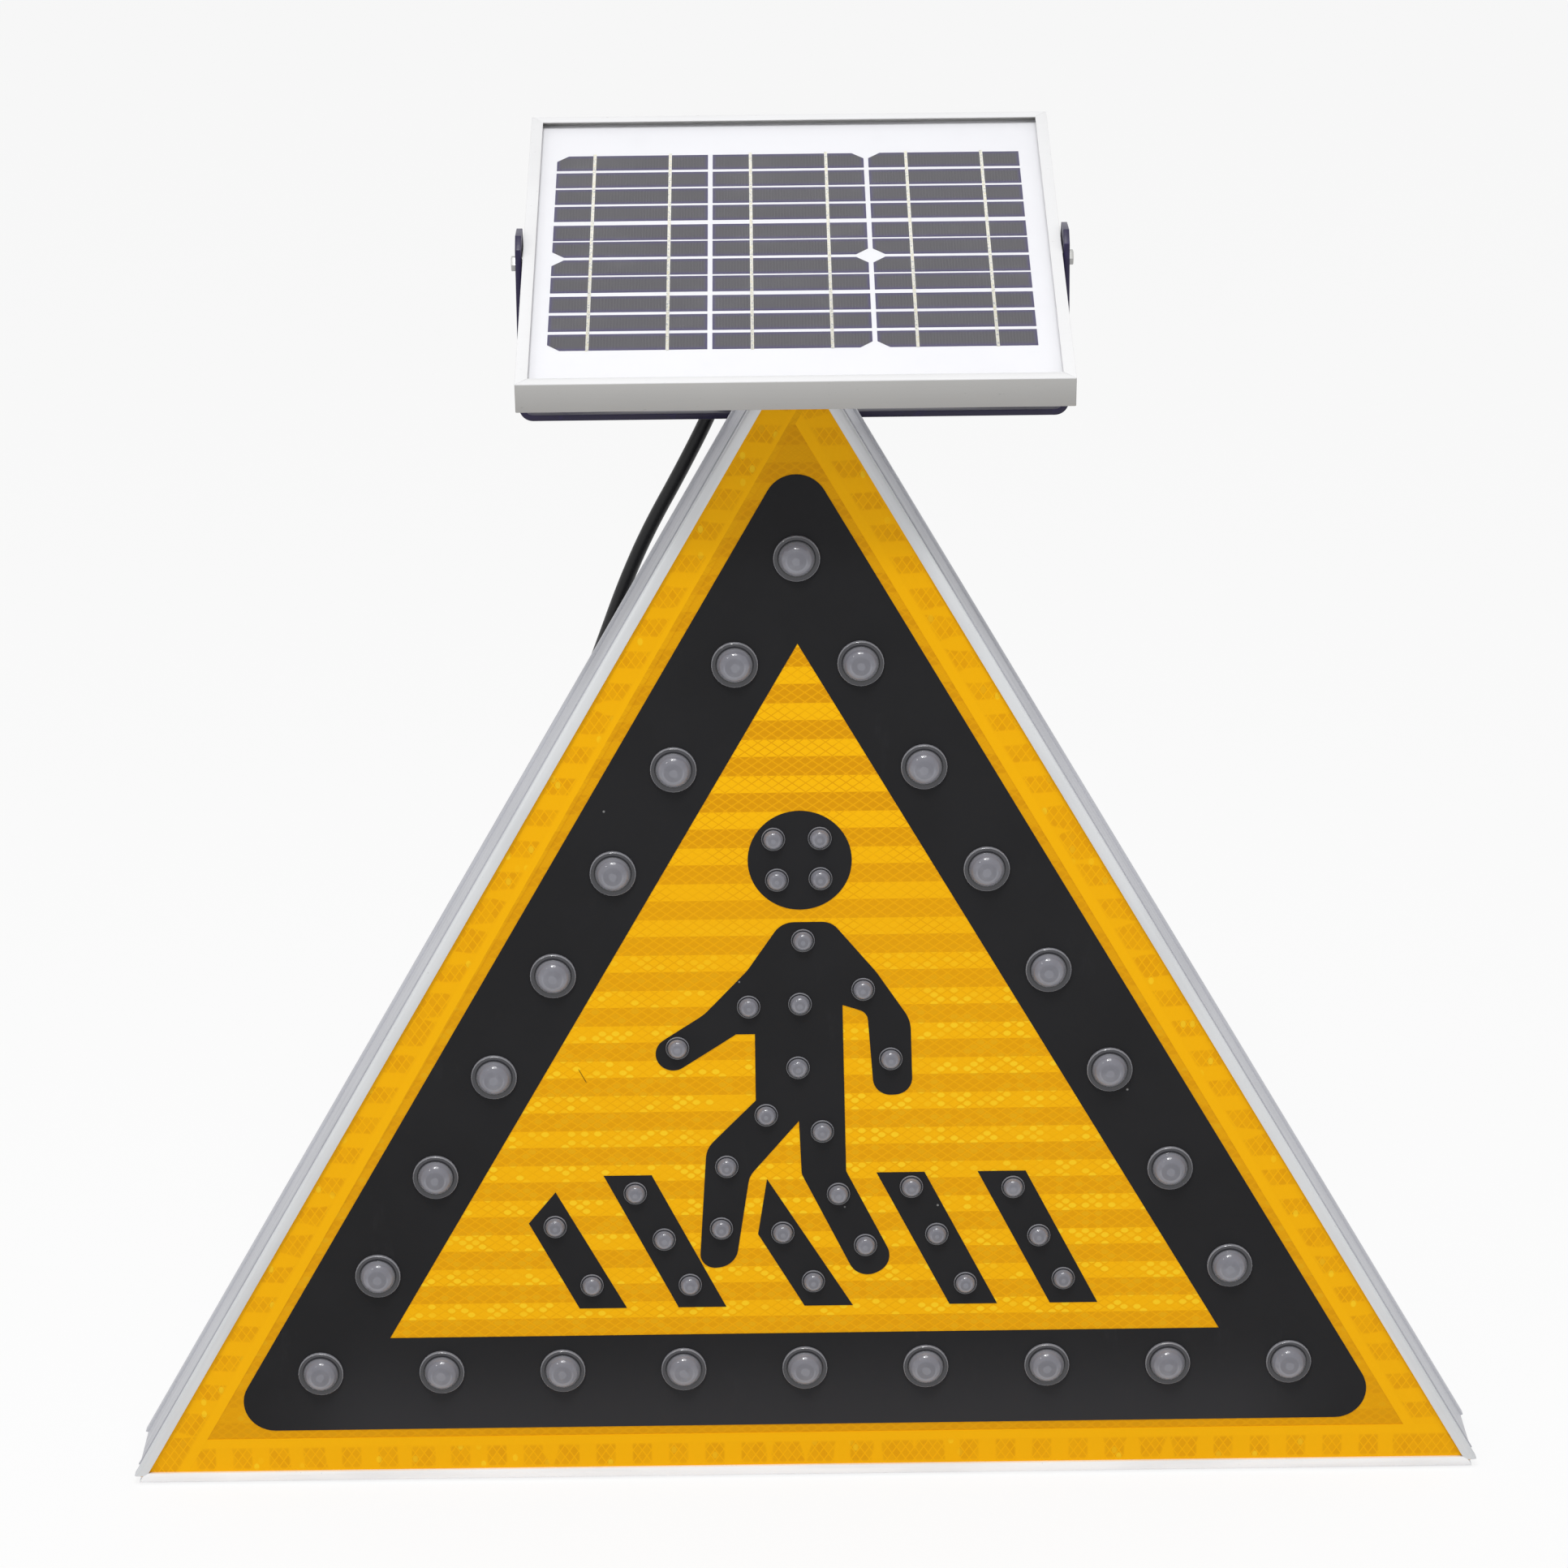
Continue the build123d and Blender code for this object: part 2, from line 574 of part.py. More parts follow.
def inner_leads():
    """Leads to the board's terminals, from the gland, the battery and the lamps' net."""
    x, z = BOARD_AT
    level = board_face - TERMINAL[1] / 2
    low = terminal_foot - LEAD_DROP
    half = LEAD_DROP / 2

    def rise(to_x):
        return [(to_x, level, low), (to_x, level, terminal_foot)]

    mouth = cover_front - GLAND_INSIDE
    left = x - TERMINAL_PITCH
    charge = [(gland_x, mouth, GLAND_UP), (gland_x, mouth - half, GLAND_UP),
              ((gland_x + left) / 2, level, (GLAND_UP + low) / 2),
              (left - LEAD, level, low - half), *rise(left)]
    battery_x, battery_z = BATTERY_AT
    top = battery_z + BATTERY[2] / 2
    store = [(battery_x, level, top), (battery_x, level, top + half),
             (x - LEAD, level - LEAD, (top + low) / 2), *rise(x)]
    lamp_x, lamp_z = on_field(*figure_chains()[1][-1])
    feed = [(lamp_x, jumper_rear, lamp_z), (lamp_x, jumper_rear + LEAD, lamp_z),
            (lamp_x, jumper_rear + half, lamp_z + half), *rise(x + TERMINAL_PITCH)]
    save("inner_leads", *[tube(route, LEAD, LEAD_SIDES)[0] for route in (charge, store, feed)])


def bracket():
    """The bent angle on the cover, the U bracket on it, and the bolt that joins them."""
    angle_back = PIVOT_BACK + BAR_WIDE / 2
    drop = polygon([
        (rear, bar_low - ANGLE_LEG), (rear + ANGLE_THICK, bar_low - ANGLE_LEG),
        (rear + ANGLE_THICK, bar_low - ANGLE_THICK), (angle_back, bar_low - ANGLE_THICK),
        (angle_back, bar_low), (rear, bar_low),
    ])
    bend = drop.vertices().sort_by_distance((rear, bar_low, 0))[0]
    drop = fillet(bend, ANGLE_BEND + ANGLE_THICK)
    inside = drop.vertices().sort_by_distance((rear + ANGLE_THICK, bar_low - ANGLE_THICK, 0))[0]
    drop = fillet(inside, ANGLE_BEND)
    angle = extrude(Plane.YZ * drop, ANGLE_WIDE / 2, both=True)
    shank = Pos(0, PIVOT_BACK, bar_low) * extrude(bore(BOLT), 4 * BAR_THICK, both=True)
    save("support_angle", angle - shank)
    screw = forward(extrude(hexagon(SUPPORT_HEX), SUPPORT_HEAD), 0, rear + ANGLE_THICK + SUPPORT_HEAD, 0)
    rows = (bar_low - ANGLE_LEG + SUPPORT_LOW, bar_low - SUPPORT_HIGH)
    columns = (-SUPPORT_COLUMNS / 2, SUPPORT_COLUMNS / 2)
    save("support_screws", *[Pos(x, 0, z) * screw for x in columns for z in rows])

    half = PANEL_WIDE / 2 + ARM_SPACE
    tip = pivot_up + TIP_ABOVE
    outer = half + BAR_THICK
    strap = polygon([
        (-outer, tip), (-outer, bar_low), (outer, bar_low), (outer, tip),
        (half, tip), (half, bar_top), (-half, bar_top), (-half, tip),
    ])
    for x, z, radius in ((-outer, bar_low, BAR_BEND + BAR_THICK), (outer, bar_low, BAR_BEND + BAR_THICK),
                         (-half, bar_top, BAR_BEND), (half, bar_top, BAR_BEND)):
        strap = fillet(strap.vertices().sort_by_distance((x, z, 0))[0], radius)
    bar = upright(strap, PIVOT_BACK - BAR_WIDE / 2, PIVOT_BACK + BAR_WIDE / 2)
    tips = bar.edges().filter_by(Axis.X).group_by(Axis.Z)[-1]
    bar = chamfer(tips, TIP_CHAMFER)
    pin = Pos(0, PIVOT_BACK, pivot_up) * Rot(0, 90, 0) * Cylinder(PIVOT_BOLT / 2 + RUNNING, 3 * outer)
    save("u_bracket", bar - shank - pin)

    head_foot = bar_top + WASHER_THICK
    nut_top = bar_low - ANGLE_THICK - WASHER_THICK
    nut_low = nut_top - BOLT_NUT
    head = Pos(0, PIVOT_BACK, head_foot) * extrude(hexagon(BOLT_HEX), BOLT_HEAD)
    stem_low = nut_low - BOLT_END
    stem = Pos(0, PIVOT_BACK, stem_low) * extrude(sided(BOLT, TRIM_SIDES), head_foot - stem_low)
    save("bracket_bolt", head + stem)
    ring = extrude(sided(WASHER, TRIM_SIDES) - bore(BOLT), WASHER_THICK)
    save("bracket_washers", *[Pos(0, PIVOT_BACK, z) * ring for z in (bar_top, nut_top)])
    save("bracket_nut", Pos(0, PIVOT_BACK, nut_low) * extrude(hexagon(BOLT_HEX) - bore(BOLT), BOLT_NUT))


def tilted(shape):
    """A shape drawn flat, with the pivot line at the origin and the panel's length along Y, put in place."""
    return Pos(0, PIVOT_BACK, pivot_up) * Rot(PANEL_TILT, 0, 0) * shape


def panel_profile():
    """Section of the panel's frame: X is the distance in from the outer face, Y is the height."""
    top = PIVOT_DROP
    foot = top - PANEL_THICK
    glass_under = top - PANEL_LIP - GLASS - CELL_THICK - BACKSHEET - FIT
    return polygon([
        (0, foot), (PANEL_FOOT, foot), (PANEL_FOOT, foot + PANEL_WALL), (PANEL_WALL, foot + PANEL_WALL),
        (PANEL_WALL, glass_under - PANEL_WALL), (PANEL_LIP_REACH, glass_under - PANEL_WALL),
        (PANEL_LIP_REACH, glass_under), (PANEL_WALL, glass_under), (PANEL_WALL, top - PANEL_LIP),
        (PANEL_LIP_REACH, top - PANEL_LIP), (PANEL_LIP_REACH, top), (0, top),
    ])


def panel_frame():
    """Four mitred lengths of the panel's profile. The side ones have the pivot holes."""
    half_wide = PANEL_WIDE / 2
    half_long = PANEL_LONG / 2
    run = max(half_wide, half_long)
    level = (-PANEL_THICK, PANEL_THICK)
    for name, angle, out, other in (
        ("panel_frame_front", 0, half_long, half_wide), ("panel_frame_right", 90, half_wide, half_long),
        ("panel_frame_rear", 180, half_long, half_wide), ("panel_frame_left", 270, half_wide, half_long),
    ):
        bar = Pos(0, -out, 0) * extrude(Plane.YZ * panel_profile(), run, both=True)
        mitre = polygon([(-other, -out), (other, -out), (other - PANEL_FOOT, -out + PANEL_FOOT),
                         (-other + PANEL_FOOT, -out + PANEL_FOOT)])
        bar &= Pos(0, 0, level[0]) * extrude(mitre, level[1] - level[0])
        member = Rot(0, 0, angle) * bar
        if "left" in name or "right" in name:
            member -= Rot(0, 90, 0) * extrude(bore(PIVOT_BOLT), PANEL_WIDE, both=True)
        save(name, tilted(member))


def panel_laminate():
    """Glass, cell strips with their two ribbons a column, and the white backsheet."""
    top = PIVOT_DROP - PANEL_LIP
    wide = PANEL_WIDE - 2 * (PANEL_WALL + FIT)
    long = PANEL_LONG - 2 * (PANEL_WALL + FIT)
    cells_top = top - GLASS
    save("panel_glass", tilted(block((-wide / 2, wide / 2), (-long / 2, long / 2), (cells_top, top))))
    ribbon_top = cells_top
    cell_top = ribbon_top - RIBBON_THICK
    cell_low = cell_top - (CELL_THICK - RIBBON_THICK)
    under = cell_low - BACKSHEET
    save("backsheet", tilted(block((-wide / 2, wide / 2), (-long / 2, long / 2), (under, cell_low))))

    column_pitch = CELL_WIDE + COLUMN_GAP
    row_pitch = CELL_LONG + ROW_GAP
    strips = []
    ribbons = []
    for column in range(CELL_COLUMNS):
        across = (column - (CELL_COLUMNS - 1) / 2) * column_pitch
        chamfer_side = 1 if column % 2 else -1
        for row in range(CELL_ROWS):
            up = ((CELL_ROWS - 1) / 2 - row) * row_pitch
            face = Pos(across, up) * Rectangle(CELL_WIDE, CELL_LONG)
            cut_top = row in (0, FIRST_GROUP)
            cut_foot = row in (FIRST_GROUP - 1, CELL_ROWS - 1)
            for cut, side in ((cut_top, 1), (cut_foot, -1)):
                if cut:
                    corner = (across + chamfer_side * CELL_WIDE / 2, up + side * CELL_LONG / 2, 0)
                    face = chamfer(face.vertices().sort_by_distance(corner)[0], CELL_CHAMFER)
            strips.append(tilted(Pos(0, 0, cell_low) * extrude(face, cell_top - cell_low)))
        for quarter in (-1, 1):
            x = across + quarter * CELL_WIDE / 4
            half = CELL_ROWS * row_pitch / 2 + RIBBON_PAST
            ribbon = block((x - RIBBON_WIDE / 2, x + RIBBON_WIDE / 2), (-half, half), (cell_top, ribbon_top))
            ribbons.append(tilted(ribbon))
    save("solar_cells", *strips)
    save("cell_ribbons", *ribbons)
    return under


def junction_box(under):
    """The box under the backsheet, its lid and the gland of the lead. Returns the lead's first two points."""
    wide, long, high = BOX
    middle = PANEL_LONG / 2 - BOX_IN
    body = block((-wide / 2, wide / 2), (middle - long / 2, middle + long / 2), (under - high, under))
    body = chamfer(body.edges().filter_by(Axis.Z), BOX_CORNER)
    save("junction_box", tilted(body))
    half_wide = wide / 2 - LID_IN
    half_long = long / 2 - LID_IN
    lid = block((-half_wide, half_wide), (middle - half_long, middle + half_long),
                (under - high - BOX_LID, under - high))
    save("junction_lid", tilted(chamfer(lid.edges().filter_by(Axis.Z), BOX_CORNER - LID_IN / 2)))
    axis = under - high / 2
    start = middle - long / 2
    slope = math.degrees(math.atan((EXIT_WIDE - CORD) / 2 / EXIT_LONG - CORD_WALL / EXIT_LONG))
    boss = Rot(90, 0, 0) * extrude(sided(EXIT_WIDE, TRIM_SIDES), EXIT_LONG, taper=slope)
    save("box_gland", tilted(Pos(EXIT_SIDE, start, axis) * boss))
    points = [(EXIT_SIDE, start - EXIT_LONG - run, axis) for run in (0, EXIT_RUN)]
    return [tuple(tilted(Pos(*point)).position) for point in points]


def pivots():
    """A bolt through each arm and side member, with a washer between them and a nut inside the member."""
    side = PANEL_WIDE / 2
    wall = side - PANEL_WALL
    arm = side + ARM_SPACE + BAR_THICK
    bolts = []
    washers = []
    nuts = []
    for hand in (-1, 1):
        turn = Pos(0, PIVOT_BACK, pivot_up) * Rot(0, 90 * hand, 0)
        stem = Pos(0, 0, wall - PIVOT_END) * extrude(Circle(PIVOT_BOLT / 2), arm - wall + PIVOT_END)
        head = Pos(0, 0, arm) * extrude(hexagon(PIVOT_HEX), PIVOT_HEAD)
        bolts.append(turn * (stem + head))
        ring = extrude(sided(PIVOT_WASHER, TRIM_SIDES) - bore(PIVOT_BOLT + 2 * RUNNING), ARM_SPACE)
        washers.append(turn * Pos(0, 0, side) * ring)
        flats = hexagon(PIVOT_HEX, rotation=30 + PANEL_TILT * hand)
        nuts.append(turn * Pos(0, 0, wall - PIVOT_NUT) * extrude(flats - bore(PIVOT_BOLT), PIVOT_NUT))
    save("pivot_bolts", *bolts)
    save("pivot_washers", *washers)
    save("pivot_nuts", *nuts)


def panel_cable(first_run):
    """The gland on the cover and the lead that comes down to it behind the case's left side."""
    inside = extrude(sided(GLAND_BODY, TRIM_SIDES), COVER + GLAND_INSIDE)
    seat = extrude(hexagon(GLAND_HEX), GLAND_SEAT)
    body = forward(inside, gland_x, rear, GLAND_UP) + forward(seat, gland_x, rear + GLAND_SEAT, GLAND_UP)
    save("case_gland", body)
    cap_long = GLAND_LONG - GLAND_SEAT
    slope = math.degrees(math.atan(((GLAND_BODY - CORD) / 2 - CORD_WALL) / cap_long))
    cap = Pos(gland_x, rear + GLAND_SEAT, GLAND_UP) * Rot(-90, 0, 0) * extrude(
        sided(GLAND_BODY, TRIM_SIDES), cap_long, taper=slope)
    save("case_gland_cap", cap)
    ring = extrude(hexagon(GLAND_HEX) - bore(GLAND_BODY), GLAND_NUT)
    save("case_gland_nut", forward(ring, gland_x, cover_front, GLAND_UP))
    route = [
        *first_run,
        (-15.0, 118.5, 623.5), (-17.5, 110.5, 608.0), (-23.0, 108.6, 588.5), (-31.0, 108.3, 566.0),
        (-42.2, 108.5, 539.0), (-57.5, 109.0, 509.0), (-74.8, 111.0, 477.5), (-87.5, 115.5, 448.0),
        (-97.5, 123.0, 419.5), (-105.5, 131.0, 396.5), (-112.5, 135.6, 372.7), (-116.0, 130.2, 352.4),
        (-117.8, 118.0, 337.8), (gland_x, 101.2, GLAND_UP), (gland_x, rear + GLAND_LONG, GLAND_UP),
    ]
    cord, radii, length = tube(route, CORD, SMALL_SIDES)
    save("panel_cable", cord)
    section = sided(CORD, SMALL_SIDES).area
    print("cable radii", [round(radius, 1) for radius in radii], "length", round(length, 1))
    print("volume over section times length", round(cord.volume / (section * length), 4))


frame_members()
corner_keys()
face_layers()
lamps("large_lamp", large_places, LARGE_SIDES, LARGE_FLANGE, LARGE_FLANGE_THICK, LARGE_DOME, LARGE_CROWN,
      LARGE_DOME_RISE, LARGE_BARREL)
lamps("small_lamp", small_places, SMALL_SIDES, SMALL_FLANGE, SMALL_FLANGE_THICK, SMALL_DOME, SMALL_CROWN,
      SMALL_DOME_RISE, SMALL_BARREL)
lamp_jumpers()
rear_cover()
lower_rivets = rail("lower_rail", lower_rail_at, LOWER_RAIL_LONG)
upper_rivets = rail("upper_rail", upper_rail_at, UPPER_RAIL_LONG)
save("rail_rivets", *lower_rivets, *upper_rivets)
electrics()
inner_leads()
bracket()
panel_frame()
backsheet_under = panel_laminate()
cable_mouth = junction_box(backsheet_under)
pivots()
panel_cable(cable_mouth)
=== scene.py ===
import json
import math
import random

import bmesh
import bpy
from bpy.props import FloatProperty, FloatVectorProperty, IntProperty, PointerProperty
from mathutils import Matrix, Vector


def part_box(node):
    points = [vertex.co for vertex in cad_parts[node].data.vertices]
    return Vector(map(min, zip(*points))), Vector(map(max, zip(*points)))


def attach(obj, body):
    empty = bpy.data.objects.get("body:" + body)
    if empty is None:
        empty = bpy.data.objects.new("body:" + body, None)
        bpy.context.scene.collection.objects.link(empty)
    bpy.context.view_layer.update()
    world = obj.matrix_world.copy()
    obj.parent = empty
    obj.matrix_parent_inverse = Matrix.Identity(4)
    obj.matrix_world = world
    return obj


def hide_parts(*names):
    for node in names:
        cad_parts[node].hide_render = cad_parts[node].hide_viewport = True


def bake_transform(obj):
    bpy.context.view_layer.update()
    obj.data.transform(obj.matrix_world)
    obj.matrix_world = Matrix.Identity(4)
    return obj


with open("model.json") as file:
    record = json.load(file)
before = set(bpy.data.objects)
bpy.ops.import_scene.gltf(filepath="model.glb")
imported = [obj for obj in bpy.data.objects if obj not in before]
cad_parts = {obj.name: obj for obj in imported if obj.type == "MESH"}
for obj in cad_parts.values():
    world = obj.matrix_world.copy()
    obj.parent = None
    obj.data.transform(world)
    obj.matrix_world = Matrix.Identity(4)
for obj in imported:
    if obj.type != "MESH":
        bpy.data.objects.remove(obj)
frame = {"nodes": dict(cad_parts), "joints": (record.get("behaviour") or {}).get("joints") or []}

bl_info = {
    "name": "Solar crossing sign",
    "version": (1, 0, 0),
    "blender": (4, 5, 0),
    "location": "3D View > Sidebar > Crossing sign",
    "description": "Finishes a solar pedestrian crossing sign with lamps round its packed model",
    "category": "Object",
}

MM = 0.001
MERGE = 1e-6                # corners nearer than this are one corner
SHARP = math.radians(34)    # edges that turn by more than this stay sharp
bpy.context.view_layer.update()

# Places on the sign, in its own millimetres
FOOT = -270.0               # lowest edge of the case
MIDDLE = -67.93             # centre of the triangle, between foot and apex
INRADIUS = MIDDLE - FOOT    # from the centre to each side
RIM_BACK = -78.5            # how far back the front rim of the case reaches, which is painted brighter than the wall
TAPE_INNER = 23.5           # inner edge of the tapes, in from the case's outline
TAPE_LATTICE = (90.0, 30.0, -30.0)   # turn of the lattice on the foot's, the left and the right tape
SCRATCH_AT = (-111.0, -80.2, -48.4)
SCRATCH_TURN = math.radians(-62.0)
PANEL_TILT = math.radians(15.5)
CABLE_WIDE = 7.4
CABLE_ROUTE = [
    (-14.0, 68.7, 369.3), (-14.0, 52.3, 364.8), (-15.0, 38.3, 353.5), (-17.5, 30.3, 338.0),
    (-23.0, 28.4, 318.5), (-31.0, 28.1, 296.0), (-42.2, 28.3, 269.0), (-57.5, 28.8, 239.0),
    (-74.8, 30.8, 207.5), (-87.5, 35.3, 178.0), (-97.5, 42.8, 149.5), (-105.5, 50.8, 126.5),
    (-112.5, 55.4, 102.7), (-116.0, 50.0, 82.4), (-117.8, 37.8, 67.8), (-118.0, 21.0, 60.0),
    (-118.0, 2.0, 60.0),
]


def colour(red, green, blue):
    """A linear colour from the 0 to 255 values that a screen shows."""

    def linear(value):
        share = value / 255
        return share / 12.92 if share <= 0.04045 else ((share + 0.055) / 1.055) ** 2.4

    return (linear(red), linear(green), linear(blue))


def scaled(shade, factor):
    return tuple(factor * value for value in shade)


def tint(name, red, green, blue):
    return FloatVectorProperty(name=name, description=f"Colour of the {name.lower()}", subtype="COLOR",
                               size=3, min=0.0, max=1.0, default=colour(red, green, blue))


def length(name, millimetres, description):
    return FloatProperty(name=name, description=description, default=millimetres * MM, min=0.0,
                         unit="LENGTH", subtype="DISTANCE", precision=5)


class FaceSettings(bpy.types.PropertyGroup):
    band_pitch: length("Band pitch", 18.8, "One bright and one dull band of the sheeting")
    band_top: length("Band start", 166.25, "Height of the top of one bright band")
    cell_wide: length("Cell width", 6.7, "Width of one diamond of the lattice")
    cell_high: length("Cell height", 4.7, "Height of one diamond of the lattice")
    bright: tint("Bright sheeting", 255, 190, 2)
    bright_line: tint("Bright lattice", 232, 162, 0)
    dull: tint("Dull sheeting", 226, 156, 0)
    dull_line: tint("Dull lattice", 247, 180, 8)
    spark: tint("Glint in a cell", 255, 214, 40)
    # Painted shade: the sheeting between the tapes and the black border
    shaded_edge_sheeting: tint("Sheeting at the edge", 226, 160, 2)
    tape: tint("Edge tape", 252, 184, 0)
    tape_cell: tint("Edge tape cells", 230, 160, 0)
    film: tint("Black film", 36, 36, 38)


class LampSettings(bpy.types.PropertyGroup):
    steps: IntProperty(name="Lens steps", description="Faces round one lens", default=32, min=12, max=64)
    dome: tint("Dome", 112, 112, 121)
    # Painted light: the lower part of the dome is painted lighter
    dome_lit_below: tint("Lower dome", 140, 141, 150)
    ring: tint("Flange", 38, 38, 44)
    # Painted shade in the groove and a painted highlight on the flange edge
    groove: tint("Groove", 22, 22, 27)
    rim: tint("Flange edge", 150, 150, 156)


class MetalSettings(bpy.types.PropertyGroup):
    # Painted light and shade: the rims are painted brighter than the wall, and the rim along the foot
    # brighter still
    rim: tint("Case rim", 222, 224, 226)
    lit_foot_rim: tint("Rim along the foot", 250, 250, 251)
    wall: tint("Case wall", 196, 197, 203)
    sheet: tint("Rear sheet", 190, 191, 193)
    zinc: tint("Zinc plate", 190, 190, 188)
    coat: tint("Bracket coating", 22, 12, 54)
    soften: length("Edge radius", 0.35, "Softening of the cut metal edges")


class PanelSettings(bpy.types.PropertyGroup):
    cell: tint("Cell", 58, 55, 63)
    cell_edge: tint("Cell edge", 50, 38, 98)
    ribbon: tint("Ribbon", 236, 234, 224)
    backsheet: tint("Backsheet", 236, 236, 240)
    # Painted light and shade: the frame's lip is painted bright and its wall darker
    lip: tint("Panel frame's lip", 236, 236, 237)
    wall: tint("Panel frame's wall", 184, 183, 181)


class StageSettings(bpy.types.PropertyGroup):
    floor: tint("Floor", 244, 244, 244)
    floor_drop: length("Floor below the foot", 1.0, "Gap between the floor and the case")
    sky: FloatProperty(name="Sky light", description="Strength of the light from all round",
                       default=0.5, min=0.0, max=4.0)
    overhead: FloatProperty(name="Overhead light", description="Power of the large soft light above",
                            default=30.0, min=0.0, max=500.0, unit="POWER")
    high: FloatProperty(name="High light", description="Power of the small light high in front",
                        default=18.0, min=0.0, max=500.0, unit="POWER")
    left: FloatProperty(name="Left light", description="Power of the small light on the upper left",
                        default=4.0, min=0.0, max=500.0, unit="POWER")


SETTINGS = {
    "sign_face": FaceSettings, "sign_lamps": LampSettings, "sign_metal": MetalSettings,
    "sign_panel": PanelSettings, "sign_stage": StageSettings,
}


class Link:
    """An output of a shader node, with Python's operators as Math nodes."""

    def __init__(self, nodes, socket):
        self.nodes = nodes
        self.socket = socket

    def __add__(self, other):
        return self.nodes.maths("ADD", self, other)

    __radd__ = __add__

    def __sub__(self, other):
        return self.nodes.maths("SUBTRACT", self, other)

    def __rsub__(self, other):
        return self.nodes.maths("SUBTRACT", other, self)

    def __mul__(self, other):
        return self.nodes.maths("MULTIPLY", self, other)

    __rmul__ = __mul__

    def __truediv__(self, other):
        return self.nodes.maths("DIVIDE", self, other)

    def __rtruediv__(self, other):
        return self.nodes.maths("DIVIDE", other, self)

    def __pow__(self, other):
        return self.nodes.maths("POWER", self, other)

    def __mod__(self, other):
        return self.nodes.maths("FLOORED_MODULO", self, other)

    def __abs__(self):
        return self.nodes.maths("ABSOLUTE", self)


class Nodes:
    """A node tree, to which nodes are added one by one."""

    def __init__(self, tree):
        self.tree = tree

    def put(self, socket, value):
        """Link or set one socket."""
        if isinstance(value, Link):
            self.tree.links.new(value.socket, socket)
        elif socket.type == "RGBA":
            socket.default_value = (*value[:3], 1.0)
        else:
            socket.default_value = value

    def node(self, kind, settings=None, sockets=None, output=0):
        """Add a node with its settings and the values or links of its sockets, and return one output."""
        node = self.tree.nodes.new(kind)
        for name, value in (settings or {}).items():
            setattr(node, name, value)
        for socket, value in (sockets or {}).items():
            self.put(node.inputs[socket], value)
        return Link(self, node.outputs[output])

    def maths(self, operation, *values):
        return self.node("ShaderNodeMath", {"operation": operation}, dict(enumerate(values)))

    def larger(self, first, second):
        return self.maths("MAXIMUM", first, second)

    def smaller(self, first, second):
        return self.maths("MINIMUM", first, second)

    def fade(self, value, low, high):
        """0 below low, 1 above high, and smooth between them. It falls instead if low is above high."""
        sockets = {"Value": value, "From Min": low, "From Max": high}
        return self.node("ShaderNodeMapRange", {"interpolation_type": "SMOOTHSTEP"}, sockets)

    def mix(self, share, first, second):
        """Two colours, the first where share is 0."""
        return self.node("ShaderNodeMix", {"data_type": "RGBA"}, {0: share, 6: first, 7: second}, output=2)

    def seen(self):
        """1 for rays from the camera, off a glossy surface or through a clear one."""
        outputs = self.node("ShaderNodeLightPath").socket.node.outputs
        camera, glossy, through = (Link(self, outputs[f"Is {kind} Ray"])
                                   for kind in ("Camera", "Glossy", "Transmission"))
        return self.larger(camera, self.larger(glossy, through))


class Finish(Nodes):
    """A procedural material round one Principled shader."""

    def __init__(self, name, **constants):
        self.material = bpy.data.materials.new(name)
        self.material.use_nodes = True
        super().__init__(self.material.node_tree)
        self.shader = self.tree.nodes["Principled BSDF"]
        self.set(**constants)

    def set(self, **sockets):
        """Set or link the shader's sockets: base_color for Base Color, and so on."""
        for name, value in sockets.items():
            title = name.replace("_", " ").title().replace("Ior", "IOR")
            self.put(self.shader.inputs[title], value)

    def object_mm(self, centre=(0.0, 0.0, 0.0), turn=(0.0, 0.0, 0.0), stretch=(1.0, 1.0, 1.0)):
        """Object coordinates in millimetres from a centre, turned, then stretched along their axes."""
        place = self.node("ShaderNodeTexCoord", output=3)
        offset = [value * MM for value in centre]
        moved = self.node("ShaderNodeVectorMath", {"operation": "SUBTRACT"}, {0: place, 1: offset})
        turned = self.node("ShaderNodeMapping", None, {"Vector": moved, "Rotation": turn})
        scale = [value / MM for value in stretch]
        return self.node("ShaderNodeMapping", None, {"Vector": turned, "Scale": scale})

    def parts(self, vector):
        """The three numbers of a vector."""
        first = self.node("ShaderNodeSeparateXYZ", None, {0: vector})
        outputs = first.socket.node.outputs
        return first, Link(self, outputs[1]), Link(self, outputs[2])

    def noise(self, vector, scale, detail=2.0, roughness=0.5):
        sockets = {"Vector": vector, "Scale": scale, "Detail": detail, "Roughness": roughness}
        return self.node("ShaderNodeTexNoise", None, sockets)

    def attribute(self, name):
        return self.node("ShaderNodeAttribute", {"attribute_name": name}, output=2)

    def bump(self, height, distance, strength=1.0):
        """Bump from a height that runs from 0 to 1, over a distance in millimetres."""
        sockets = {"Height": height, "Distance": distance * MM, "Strength": strength}
        self.set(normal=self.node("ShaderNodeBump", None, sockets))


def side_turn(side):
    """Turn that brings a side of the triangle to the foot: 0 is the foot, 1 the left side, 2 the right."""
    return (0.0, math.radians(-120.0 * side), 0.0)


